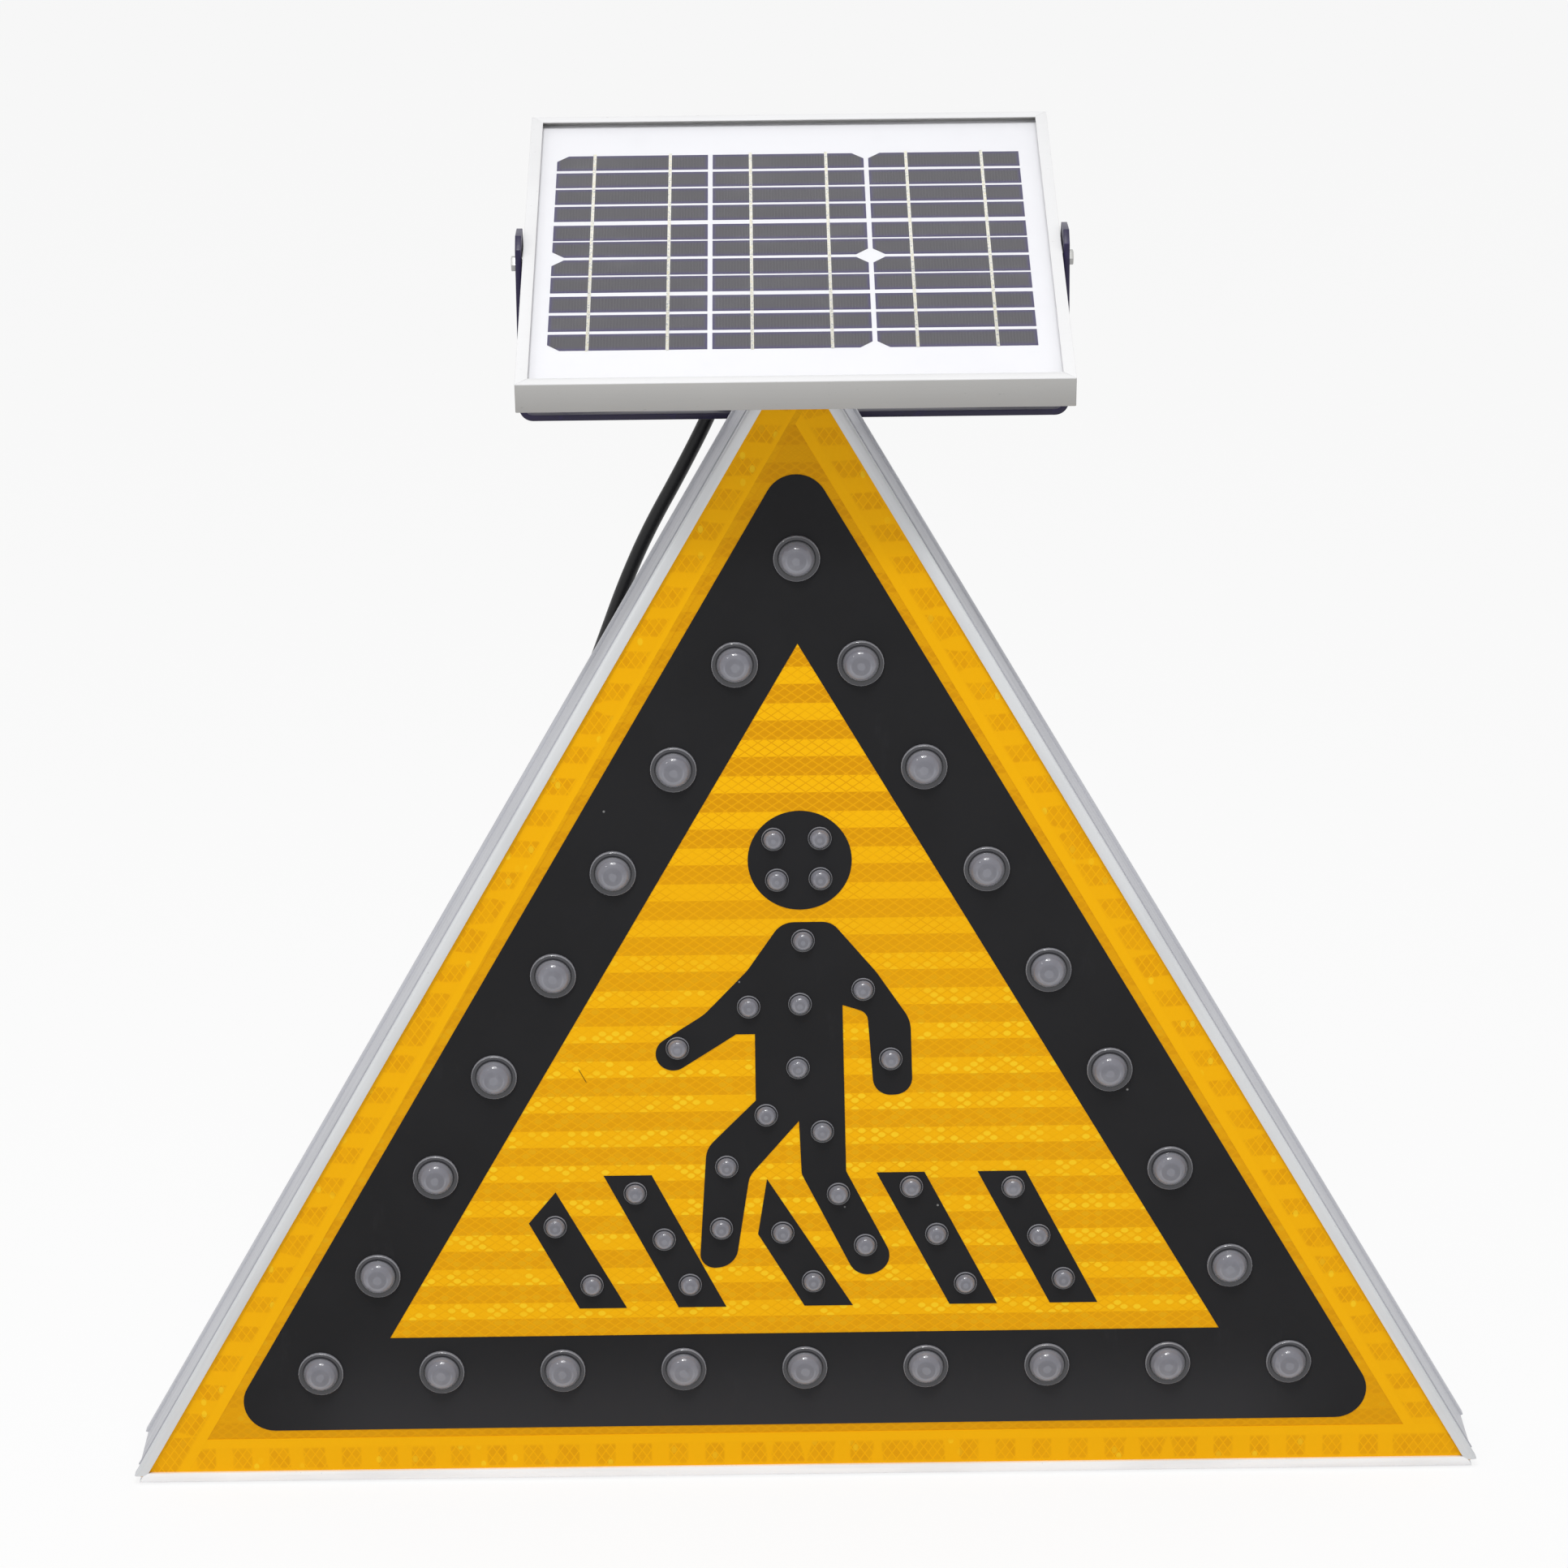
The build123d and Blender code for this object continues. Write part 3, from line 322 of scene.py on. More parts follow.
def case_metal(name, settings, side):
    """Anodised profile: rims painted brighter and the wall painted darker as light and shade, the rim along
    the foot painted brighter still, and faint streaks and patches along the length.
    """
    finish = Finish(name, metallic=0.25, specular_ior_level=0.3)
    middle = (0, 0, MIDDLE)
    plain = finish.object_mm()
    streak = finish.noise(finish.object_mm(middle, side_turn(side), (0.01, 0.2, 0.2)), 1.0, 4.0, 0.5)
    patch = finish.noise(plain, 0.014, 3.0)
    grain = finish.noise(finish.object_mm(middle, side_turn(side), (0.06, 3.0, 3.0)), 1.0, 3.0)
    worn = finish.fade(streak * 0.5 + patch * 0.5, 0.40, 0.64)
    depth = finish.parts(plain)[1]
    front = finish.fade(depth, RIM_BACK + 0.3, RIM_BACK - 0.3)
    # Painted light and shade: a brighter rim at the front, a darker wall behind it, the brightest rim along
    # the foot
    rim = settings.rim if side else settings.lit_foot_rim
    base = finish.mix(front, settings.wall, rim)
    base = finish.mix(worn * 0.16, base, scaled(settings.wall, 0.62))
    speck = finish.fade(finish.noise(plain, 0.5, 2.0), 0.70, 0.78)
    finish.set(base_color=finish.mix(speck * 0.3, base, colour(150, 150, 152)))
    finish.set(roughness=0.34 + worn * 0.12 + grain * 0.12)
    finish.bump(grain, 0.04, 0.4)
    return finish.material


def sheet_metal(name, shade, turn=(0.0, 0.0, 0.0), metallic=0.8):
    """Rolled aluminium sheet: long rolling lines, a little staining and finger marks."""
    finish = Finish(name, metallic=metallic)
    lines = finish.noise(finish.object_mm(turn=turn, stretch=(0.01, 0.6, 0.6)), 1.0, 5.0, 0.6)
    stain = finish.noise(finish.object_mm(), 0.01, 4.0, 0.6)
    marks = finish.fade(stain, 0.5, 0.68)
    dark = scaled(shade, 0.72)
    finish.set(base_color=finish.mix(marks * 0.18 + lines * 0.25, shade, dark))
    finish.set(roughness=0.32 + marks * 0.14 + lines * 0.12)
    finish.bump(lines, 0.03, 0.5)
    return finish.material


def zinc_plate(name, shade):
    """Zinc plated steel: bright, with cloudy patches and a few dull specks."""
    finish = Finish(name, metallic=0.9)
    place = finish.object_mm()
    cloud = finish.noise(place, 0.22, 3.0)
    speck = finish.fade(finish.noise(place, 2.2, 2.0), 0.62, 0.72)
    dark = scaled(shade, 0.6)
    finish.set(base_color=finish.mix(cloud * 0.6 + speck * 0.4, shade, dark))
    finish.set(roughness=0.24 + cloud * 0.2 + speck * 0.2)
    finish.bump(finish.noise(place, 1.6, 2.0), 0.03, 0.4)
    return finish.material


def cast_metal(name, shade):
    """Raw casting: grey, matt and pitted."""
    finish = Finish(name, metallic=0.6)
    place = finish.object_mm()
    pits = finish.noise(place, 0.9, 4.0, 0.6)
    finish.set(base_color=finish.mix(pits, shade, scaled(shade, 0.6)))
    finish.set(roughness=0.5 + pits * 0.2)
    finish.bump(pits, 0.2, 0.7)
    return finish.material


def powder_coat(name, shade):
    """Thin dark powder coat with orange peel, rubbed lighter in places."""
    finish = Finish(name, specular_ior_level=0.45)
    place = finish.object_mm()
    peel = finish.noise(place, 0.7, 2.0)
    rub = finish.fade(finish.noise(place, 0.09, 5.0, 0.65), 0.56, 0.72)
    light = tuple(2.2 * value + 0.01 for value in shade)
    finish.set(base_color=finish.mix(rub * 0.6, shade, light))
    finish.set(roughness=0.36 + rub * 0.2)
    finish.bump(peel, 0.08, 0.6)
    return finish.material


def moulding(name, shade, roughness=0.5, grain=0.8, relief=0.06):
    """Moulded plastic: a fine spark-eroded grain and faint cloudy sheen."""
    finish = Finish(name, specular_ior_level=0.45)
    place = finish.object_mm()
    texture = finish.noise(place, grain, 3.0, 0.6)
    cloud = finish.noise(place, 0.05, 3.0)
    light = tuple(1.5 * value + 0.004 for value in shade)
    finish.set(base_color=finish.mix(cloud * 0.5 + texture * 0.2, shade, light))
    finish.set(roughness=roughness + texture * 0.12 - cloud * 0.08)
    finish.bump(texture, relief, 0.5)
    return finish.material


def lattice(finish, across, up, settings):
    """The diamond lattice of the sheeting: its lines, the middles of its cells and a number for each cell."""
    wide = settings.cell_wide / MM
    high = settings.cell_high / MM
    rising = across / wide + up / high
    falling = across / wide - up / high
    first = rising % 1.0 - 0.5
    second = falling % 1.0 - 0.5
    line = finish.fade(finish.larger(abs(first), abs(second)), 0.40, 0.47)
    middle = finish.fade((first * first + second * second) ** 0.5, 0.46, 0.34)
    place = finish.node("ShaderNodeCombineXYZ", None, {0: rising - first, 1: falling - second})
    draw = finish.node("ShaderNodeTexWhiteNoise", None, {"Vector": place})
    return line, middle, draw


def banded_cells(finish, place, settings):
    """Bright and dull bands over one diamond lattice, as colour, with the lattice's lines and middles."""
    x, _, z = finish.parts(place)
    pitch = settings.band_pitch / MM
    step = ((settings.band_top / MM - z) / pitch) % 1.0
    band = finish.fade(step, 0.0, 0.02) * finish.fade(step, 0.488, 0.468)
    line, middle, draw = lattice(finish, x, z, settings)
    patch = finish.noise(place, 0.035, 2.0)

    # The bands stand out near the apex and less at mid height, where single cells begin to glint
    contrast = 0.62 + 0.38 * finish.fade(z, 40.0, 105.0)
    low = finish.fade(z, 45.0, -35.0)
    lined = line * (0.35 + finish.fade(patch, 0.35, 0.6) * 0.65)
    bright = finish.mix(lined * (1.0 - low * 0.3), settings.bright, settings.bright_line)
    dull = finish.mix(line * 0.75, settings.dull, settings.dull_line)
    dull = finish.mix(middle * (0.15 + draw * 0.3), dull, scaled(settings.dull, 0.9))
    mean = finish.mix(0.5, settings.bright, settings.dull)
    shade = finish.mix(band, finish.mix(contrast, mean, dull), finish.mix(contrast, mean, bright))
    glint = middle * finish.fade(draw, 0.45, 0.9) * low * (0.25 + band * 0.75)
    return finish.mix(glint * 0.7, shade, settings.spark), line, middle, patch


def face_sheeting(name, settings):
    """Prismatic yellow sheeting, with painted shade outside the black border, and one scratch."""
    finish = Finish(name, specular_ior_level=0.1)
    banded, line, middle, patch = banded_cells(finish, finish.object_mm(), settings)
    centre = (0, 0, MIDDLE)
    foot, left, right = [finish.parts(finish.object_mm(centre, side_turn(side)))[2] for side in range(3)]
    inset = finish.smaller(finish.smaller(left, right), foot) + INRADIUS
    # Painted shade: outside the black border the sheeting is painted a darker amber
    outer = finish.fade(inset, 46.0, 42.0)
    edge = finish.mix(middle * 0.5 + patch * 0.4, settings.shaded_edge_sheeting, scaled(settings.dull, 0.9))
    base = finish.mix(outer * 0.72, banded, edge)
    along, _, across = finish.parts(finish.object_mm(SCRATCH_AT, (0.0, SCRATCH_TURN, 0.0)))
    scratch = finish.fade(abs(along), 4.7, 3.2) * finish.fade(abs(across), 0.34, 0.14)
    finish.set(base_color=finish.mix(scratch * 0.8, base, colour(70, 48, 8)))
    finish.set(roughness=0.3 + line * 0.15 + patch * 0.1)
    finish.bump(middle * 0.6 + (1.0 - line) * 0.4, 0.05, 0.35)
    return finish.material


def edge_tape(name, settings, side):
    """Yellow edge tape: patches of darker cells along its middle, plain at its inner edge."""
    finish = Finish(name, specular_ior_level=0.1)
    centre = (0, 0, MIDDLE)
    place = finish.object_mm(centre, side_turn(side))
    along, _, up = finish.parts(place)
    inset = up + INRADIUS
    turn = side_turn(side)[1] + math.radians(TAPE_LATTICE[side])
    across, _, rise = finish.parts(finish.object_mm(centre, (0.0, turn, 0.0)))
    line, middle, draw = lattice(finish, across, rise, settings)
    pitch = settings.band_pitch / MM
    skew = up * (0.5 if side == 1 else -0.5 if side == 2 else 0.0)
    step = abs(((along + skew + 7.0 * side) / pitch) % 1.0 - 0.5)
    drift = finish.noise(place, 0.014, 2.0)
    spread = finish.fade(drift, 0.44, 0.60)
    patches = finish.fade(step - spread * 0.34, 0.30, 0.22)
    lane = finish.fade(inset, 5.5, 8.0) * finish.fade(inset, 19.0, 17.0)
    solid = (1.0 - line) * (0.5 + draw * 0.5)
    base = finish.mix(drift, settings.tape, scaled(settings.tape, 0.92))
    base = finish.mix(patches * lane * solid, base, settings.tape_cell)
    pale = line * lane * patches * spread
    base = finish.mix(pale * 0.5, base, settings.dull_line)
    glint = finish.fade(draw, 0.93, 0.99) * middle * lane * (1.0 - spread)
    base = finish.mix(glint * 0.6, base, settings.spark)
    plain = finish.fade(inset, 18.0, 19.5)
    base = finish.mix(plain * 0.25, base, settings.bright)

    # The left tape was laid a little askew, so the sheeting's strip beside it widens towards the top; that
    # strip gets the sheeting's painted shade.
    if side == 1:
        tape_edge = TAPE_INNER - 3.0 * finish.fade(finish.parts(finish.object_mm())[2], -230.0, 330.0)
        beyond = finish.fade(inset - tape_edge, -0.15, 0.15)
        base = finish.mix(beyond, base, banded_cells(finish, finish.object_mm(), settings)[0])
        base = finish.mix(beyond * 0.72, base, settings.shaded_edge_sheeting)
    finish.set(base_color=base)
    finish.set(roughness=0.3 + line * 0.12 + drift * 0.1)
    finish.bump(middle * 0.5 + (1.0 - line) * 0.5, 0.05, 0.3)
    return finish.material


def black_film(name, settings):
    """Black vinyl film: an even satin with faint clouds, smears and a few specks of dust, painted lighter low
    in the middle as a sheen.
    """
    finish = Finish(name, specular_ior_level=0.12)
    place = finish.object_mm()
    cloud = finish.noise(place, 0.02, 4.0, 0.6)
    fine = finish.noise(place, 0.45, 3.0, 0.6)
    x, _, z = finish.parts(place)
    # Painted sheen: the film is painted lighter along the middle of the foot; light serves both this sheen
    # and the smears
    low = finish.fade(z, -185.0, -245.0) * finish.fade(abs(x), 285.0, 215.0)
    light = scaled(settings.film, 1.9)
    dark = scaled(settings.film, 0.80)
    base = finish.mix(finish.fade(cloud, 0.35, 0.65) * 0.6 + fine * 0.3, dark, settings.film)
    base = finish.mix(low * 0.85, base, light)
    smear = finish.fade(finish.noise(finish.object_mm(stretch=(0.8, 1.0, 0.25)), 0.05, 5.0, 0.7), 0.60, 0.74)
    base = finish.mix(smear * 0.25, base, light)
    dots = finish.node("ShaderNodeTexVoronoi", None, {"Vector": place, "Scale": 0.03})
    dust = finish.fade(dots, 0.022, 0.012)
    finish.set(base_color=finish.mix(dust * 0.7, base, colour(150, 150, 150)))
    finish.set(roughness=0.42 + cloud * 0.16 + fine * 0.08)
    finish.bump(fine, 0.02, 0.3)
    return finish.material


def clear_lens(name, settings, dome_reach):
    """Clear lens over a frosted dome, with painted light and shade: the dome lighter below, bright painted
    reflections round its middle and near its edge, a flange lighter at top and bottom, a dark groove and a
    bright flange edge. reach runs from its axis to its rim, up from foot to top.
    """
    finish = Finish(name, specular_ior_level=0.3, coat_roughness=0.05, coat_weight=1.0, coat_ior=1.5)
    reach = finish.attribute("reach")
    up = finish.attribute("up")
    tone = finish.attribute("tone")
    place = finish.object_mm()
    cloud = finish.noise(place, 0.16, 2.0)
    fine = finish.noise(place, 0.5, 3.0, 0.6)
    share = reach / dome_reach
    # Painted light: the dome is painted lighter towards the bottom
    dome = finish.mix(finish.fade(up + (cloud - 0.5) * 1.4, 0.5, -0.6), settings.dome, settings.dome_lit_below)
    inner = finish.fade(share, 0.62, 0.50)
    # Painted reflection: a bright arc round the lower half of the dome's middle
    painted_reflex = finish.fade(share, 0.68, 0.60) * (1.0 - inner) * finish.fade(up, 0.2, -0.1)
    dome = finish.mix(inner * (0.2 + tone * 0.4), dome, scaled(settings.dome, 0.72))
    dome = finish.mix(painted_reflex * 0.5, dome, scaled(settings.dome_lit_below, 1.25))
    pupil = finish.fade(share + (cloud - 0.5) * 0.3, 0.30, 0.20)
    dome = finish.mix(pupil * 0.5, dome, settings.dome_lit_below)
    dome = finish.mix(fine * 0.25, dome, scaled(settings.dome, 0.75))
    # Painted highlight: a bright ring near the dome's edge
    painted_halo = finish.fade(share, 0.88, 0.97)
    dome = finish.mix(painted_halo * 0.45, dome, settings.rim)
    # Painted light and shade: the flange lighter at top and bottom, the groove darker, the flange edge a
    # bright painted highlight
    lit = scaled(settings.ring, 1.7)
    flange = finish.mix(finish.fade(abs(up), 0.2, 0.9) * 0.5 + fine * 0.2, settings.ring, lit)
    flange = finish.mix(finish.fade(share, 1.16, 1.04), flange, settings.groove)
    flange = finish.mix(finish.fade(reach, 0.955, 0.98) * 0.85, flange, settings.rim)
    foot = finish.fade(share, 1.00, 1.03)
    finish.set(base_color=finish.mix(foot, dome, flange))
    finish.set(roughness=0.42 - foot * 0.2 + fine * 0.06)
    return finish.material


def silicon(name, settings):
    """Silicon strip behind glass: grey, with a violet margin. The UV map runs over each strip."""
    finish = Finish(name, roughness=0.3, specular_ior_level=0.4)
    along, up, _ = finish.parts(finish.node("ShaderNodeUVMap"))
    margin = finish.larger(finish.fade(abs(up - 0.5), 0.26, 0.5), finish.fade(abs(along - 0.5), 0.47, 0.5))
    place = finish.object_mm()
    cloud = finish.noise(place, 0.05, 3.0)
    tone = finish.attribute("tone")
    cell = finish.mix(tone * 0.5 + cloud * 0.3, settings.cell, scaled(settings.cell, 0.78))
    fingers = finish.fade(abs((along * 52.0) % 1.0 - 0.5), 0.40, 0.5)
    cell = finish.mix(fingers * 0.06, cell, settings.ribbon)
    finish.set(base_color=finish.mix(margin * 0.75, cell, settings.cell_edge))
    return finish.material


def tinned(name, settings):
    """Tinned copper ribbon, with solder that glints warm and cold."""
    finish = Finish(name, metallic=0.35)
    place = finish.object_mm()
    spot = finish.noise(place, 0.9, 2.0)
    warm = finish.fade(spot, 0.56, 0.66)
    base = finish.mix(finish.fade(spot, 0.5, 0.3), settings.ribbon, colour(176, 178, 180))
    finish.set(base_color=finish.mix(warm * 0.55, base, colour(214, 200, 140)))
    finish.set(roughness=0.3 + spot * 0.3)
    finish.bump(spot, 0.15, 0.6)
    return finish.material


def backsheet(name, settings):
    """White laminate behind the cells, with faint grey clouds."""
    finish = Finish(name, specular_ior_level=0.3)
    place = finish.object_mm()
    cloud = finish.noise(place, 0.015, 3.0)
    weave = finish.noise(place, 0.8, 2.0)
    grey = scaled(settings.backsheet, 0.9)
    finish.set(base_color=finish.mix(cloud * 0.6, settings.backsheet, grey))
    finish.set(roughness=0.5 + weave * 0.1)
    finish.bump(weave, 0.02, 0.3)
    return finish.material


def pane(name):
    """Clear low-iron glass: what shows of it is its reflection, with a little dust."""
    finish = Finish(name, base_color=(0.92, 0.94, 0.95), roughness=0.04, specular_ior_level=0.5)
    place = finish.object_mm()
    dust = finish.fade(finish.noise(place, 0.03, 5.0, 0.65), 0.5, 0.8)
    finish.set(alpha=0.012 + dust * 0.02)
    finish.set(roughness=0.03 + dust * 0.1)
    return finish.material


def anodised(name, settings, top):
    """Anodised extrusion with its lip painted bright and its wall painted darker as light and shade, fine
    drawing lines and a few scuffs.
    """
    finish = Finish(name, metallic=0.2, specular_ior_level=0.3)
    turn = (-PANEL_TILT, 0.0, 0.0)
    place = finish.object_mm(PIVOT / MM, turn)
    height = finish.parts(place)[2]
    lines = finish.noise(finish.object_mm(turn=turn, stretch=(0.02, 0.9, 0.9)), 1.0, 4.0, 0.6)
    cloud = finish.noise(place, 0.02, 3.0)
    scuff = finish.fade(finish.noise(finish.object_mm(stretch=(0.25, 0.6, 0.9)), 1.0, 4.0, 0.7), 0.66, 0.74)
    # Painted light and shade: bright lip at the top, darker wall below it
    base = finish.mix(finish.fade(height, top - 0.7, top - 0.2), settings.wall, settings.lip)
    base = finish.mix(cloud * 0.1 + lines * 0.06, base, colour(120, 120, 122))
    finish.set(base_color=finish.mix(scuff * 0.5, base, colour(120, 122, 118)))
    finish.set(roughness=0.36 + cloud * 0.1 + scuff * 0.15)
    finish.bump(lines, 0.03, 0.4)
    return finish.material


def cable_jacket(name):
    """Black PVC jacket: satin, slightly wavy from the twisted cores under it."""
    finish = Finish(name, specular_ior_level=0.4)
    place = finish.object_mm()
    wave = finish.noise(finish.object_mm(stretch=(1.0, 1.0, 0.3)), 0.12, 2.0)
    dust = finish.fade(finish.noise(place, 0.3, 4.0, 0.65), 0.55, 0.75)
    finish.set(base_color=finish.mix(dust * 0.3, colour(10, 10, 14), colour(48, 48, 52)))
    finish.set(roughness=0.42 + dust * 0.2)
    finish.bump(wave, 0.3, 0.5)
    return finish.material


def circuit_board(name):
    """Green solder mask over tracks, with pale pads."""
    finish = Finish(name, specular_ior_level=0.5)
    place = finish.object_mm()
    x = finish.parts(place)[0]
    tracks = finish.fade(abs((x + finish.noise(place, 0.05, 0.0) * 30.0) / 4.0 % 1.0 - 0.5), 0.30, 0.34)
    pads = finish.node("ShaderNodeTexVoronoi", None, {"Vector": place, "Scale": 0.2})
    pad = finish.fade(pads, 0.2, 0.16)
    base = finish.mix(tracks, colour(18, 92, 50), colour(30, 120, 66))
    finish.set(base_color=finish.mix(pad, base, colour(190, 188, 176)))
    finish.set(metallic=pad * 0.8, roughness=0.3 + tracks * 0.1)
    finish.bump(tracks, 0.04, 0.5)
    return finish.material


def shrink_wrap(name):
    """Blue shrink wrap round the cells, with wrinkles."""
    finish = Finish(name, specular_ior_level=0.5)
    wrinkle = finish.noise(finish.object_mm(stretch=(0.3, 1.0, 1.0)), 0.2, 4.0, 0.6)
    finish.set(base_color=finish.mix(wrinkle, colour(24, 60, 120), colour(40, 86, 150)))
    finish.set(roughness=0.25 + wrinkle * 0.2)
    finish.bump(wrinkle, 0.5, 0.6)
    return finish.material


# Shapes: copies of the CAD's cut metal with softened edges, turned parts and hexagons

def merged(node):
    """A copy of a CAD node's mesh with its corners joined."""
    bm = bmesh.new()
    bm.from_mesh(frame["nodes"][node].data)
    bmesh.ops.remove_doubles(bm, verts=bm.verts, dist=MERGE)
    return bm


def solids(node):
    """The lowest and highest corners of each solid of a CAD node, left to right and then up."""
    bm = merged(node)
    left = set(bm.verts)
    found = []
    while left:
        group = {left.pop()}
        edge = list(group)
        while edge:
            vertex = edge.pop()
            for link in vertex.link_edges:
                other = link.other_vert(vertex)
                if other not in group:
                    group.add(other)
                    edge.append(other)
        left -= group
        low = Vector([min(vertex.co[axis] for vertex in group) for axis in range(3)])
        high = Vector([max(vertex.co[axis] for vertex in group) for axis in range(3)])
        found.append((low, high))
    bm.free()
    return sorted(found, key=lambda pair: tuple(round(value, 5) for value in (*pair[0], *pair[1])))


def softened(node, radius, segments=2):
    """A copy of a CAD node's shape with its sharp edges rounded a little."""
    bm = merged(node)
    bmesh.ops.dissolve_limit(bm, angle_limit=math.radians(1.0), verts=bm.verts, edges=bm.edges)
    sharp = [edge for edge in bm.edges if edge.is_manifold and edge.calc_face_angle() > SHARP]
    bmesh.ops.bevel(bm, geom=sharp, offset=radius, offset_type="OFFSET", segments=segments, profile=0.5,
                    affect="EDGES", clamp_overlap=True, material=-1)
    bmesh.ops.remove_doubles(bm, verts=bm.verts, dist=MERGE)
    bmesh.ops.recalc_face_normals(bm, faces=bm.faces)
    return bm


def turned_shape(profile, steps, closed=False):
    """A shape turned about its Z axis from (radius, height) pairs in millimetres, from foot to top."""
    bm = bmesh.new()
    corners = [bm.verts.new((radius * MM, 0.0, height * MM)) for radius, height in profile]
    pairs = list(zip(corners, corners[1:]))
    if closed:
        pairs.append((corners[-1], corners[0]))
    edges = [bm.edges.new(pair) for pair in pairs]
    bmesh.ops.spin(bm, geom=corners + edges, cent=(0, 0, 0), axis=(0, 0, 1), angle=math.tau, steps=steps,
                   use_merge=True)
    bmesh.ops.remove_doubles(bm, verts=bm.verts, dist=MERGE)
    bmesh.ops.recalc_face_normals(bm, faces=bm.faces)
    return bm


def hexagon(flats, low, high, chamfer):
    """A hexagonal prism about Z with its top edges taken off."""
    bm = bmesh.new()
    radius = flats / math.sqrt(3.0) * MM
    middle = Matrix.Translation((0, 0, (low + high) / 2 * MM))
    bmesh.ops.create_cone(bm, cap_ends=True, segments=6, radius1=radius, radius2=radius,
                          depth=(high - low) * MM, matrix=middle)
    top = [edge for edge in bm.edges if all(vertex.co.z > (high - MERGE) * MM for vertex in edge.verts)]
    bmesh.ops.bevel(bm, geom=top, offset=chamfer * MM, offset_type="OFFSET", segments=2, profile=0.5,
                    affect="EDGES", clamp_overlap=True, material=-1)
    return bm


def gathered(*shapes):
    """Several bmeshes as one."""
    whole = bmesh.new()
    for shape in shapes:
        mesh = bpy.data.meshes.new("part")
        shape.to_mesh(mesh)
        shape.free()
        whole.from_mesh(mesh)
        bpy.data.meshes.remove(mesh)
    return whole


def copies(shape, places, tones=None):
    """One bmesh with a copy of a shape at each place, which is a matrix. tones gives each copy its shade."""
    mesh = bpy.data.meshes.new("copy")
    shape.to_mesh(mesh)
    shape.free()
    whole = bmesh.new()
    for index, place in enumerate(places):
        before = len(whole.verts)
        whole.from_mesh(mesh)
        whole.verts.ensure_lookup_table()
        new = whole.verts[before:]
        bmesh.ops.transform(whole, matrix=place, verts=new)
        if tones:
            layer = whole.verts.layers.float.get("tone") or whole.verts.layers.float.new("tone")
            for vertex in whole.verts[before:]:
                vertex[layer] = tones[index]
    bpy.data.meshes.remove(mesh)
    return whole


def facing(direction, point, spin=0.0):
    """The matrix that spins a shape about its Z axis, turns that to a direction and puts it at a point."""
    turn = Vector((0, 0, 1)).rotation_difference(Vector(direction)).to_matrix().to_4x4()
    return Matrix.Translation(point) @ turn @ Matrix.Rotation(spin, 4, "Z")


def back_places(node, draw=None):
    """Places at the front of each of a node's solids, looking backward, spun at random if draw is given."""
    places = []
    for low, high in solids(node):
        spin = draw.random() * math.tau if draw else 0.0
        places.append(facing(BACKWARD, ((low.x + high.x) / 2, low.y, (low.z + high.z) / 2), spin))
    return places


def add_piece(name, bm, body, slot, replaced, *finishes):
    """Make an object of a bmesh, ride it on a body and let it stand for CAD nodes."""
    for edge in bm.edges:
        if edge.is_manifold and edge.calc_face_angle(0.0) > SHARP:
            edge.smooth = False
    for face in bm.faces:
        face.smooth = True
    mesh = bpy.data.meshes.new(name)
    bm.to_mesh(mesh)
    bm.free()
    for finish in finishes:
        mesh.materials.append(finish)
    piece = bpy.data.objects.new(name, mesh)
    bpy.context.scene.collection.objects.link(piece)
    if body:
        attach(piece, body)
    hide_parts(*replaced)
    return piece


def finish_nodes(material, *names):
    """Give CAD nodes a better material."""
    for name in names:
        mesh = frame["nodes"][name].data
        mesh.materials.clear()
        mesh.materials.append(material)


BACKWARD = (0.0, 1.0, 0.0)
PIVOT = Vector(frame["joints"][0]["pos_m"])


def millimetres(*values):
    return Vector(values) * MM


def panel_place():
    """The matrix that tilts a shape drawn flat about the pivot line."""
    return Matrix.Translation(PIVOT) @ Matrix.Rotation(PANEL_TILT, 4, "X")


class SIGN_OT_case(bpy.types.Operator):
    """Finish the three mitred profiles of the case, with softened edges, and the corner keys"""
    bl_idname = "crossing_sign.case"
    bl_label = "Case profiles"

    def execute(self, context):
        metal = context.scene.sign_metal
        for side, node in enumerate(("frame_bottom", "frame_left", "frame_right")):
            finish = case_metal(f"case_metal_{side}", metal, side)
            profile = softened(node, metal.soften)
            add_piece(f"case_{node}", profile, "sign", "case_aluminium", [node], finish)
        finish_nodes(cast_metal("key_casting", metal.sheet), "corner_keys")
        return {"FINISHED"}


class SIGN_OT_face(bpy.types.Operator):
    """Finish the yellow faced sheet, its edge tapes and the black films"""
    bl_idname = "crossing_sign.face"
    bl_label = "Face, tapes and films"

    def execute(self, context):
        face = context.scene.sign_face
        finish_nodes(face_sheeting("face_sheeting", face), "front_plate")
        for side, node in enumerate(("edge_tape_bottom", "edge_tape_left", "edge_tape_right")):
            finish_nodes(edge_tape(f"tape_{side}", face, side), node)
        finish_nodes(black_film("vinyl_film", face), "border_film", "walker_film", "stripe_film")
        return {"FINISHED"}


def lens_shape(profile, steps):
    """One lens about Z, with how far out and how far up each corner lies."""
    bm = turned_shape(profile, steps)
    reach = bm.verts.layers.float.new("reach")
    up = bm.verts.layers.float.new("up")
    widest = max(radius for radius, height in profile) * MM
    for vertex in bm.verts:
        vertex[reach] = math.hypot(vertex.co.x, vertex.co.y) / widest
        vertex[up] = vertex.co.y / widest
    return bm


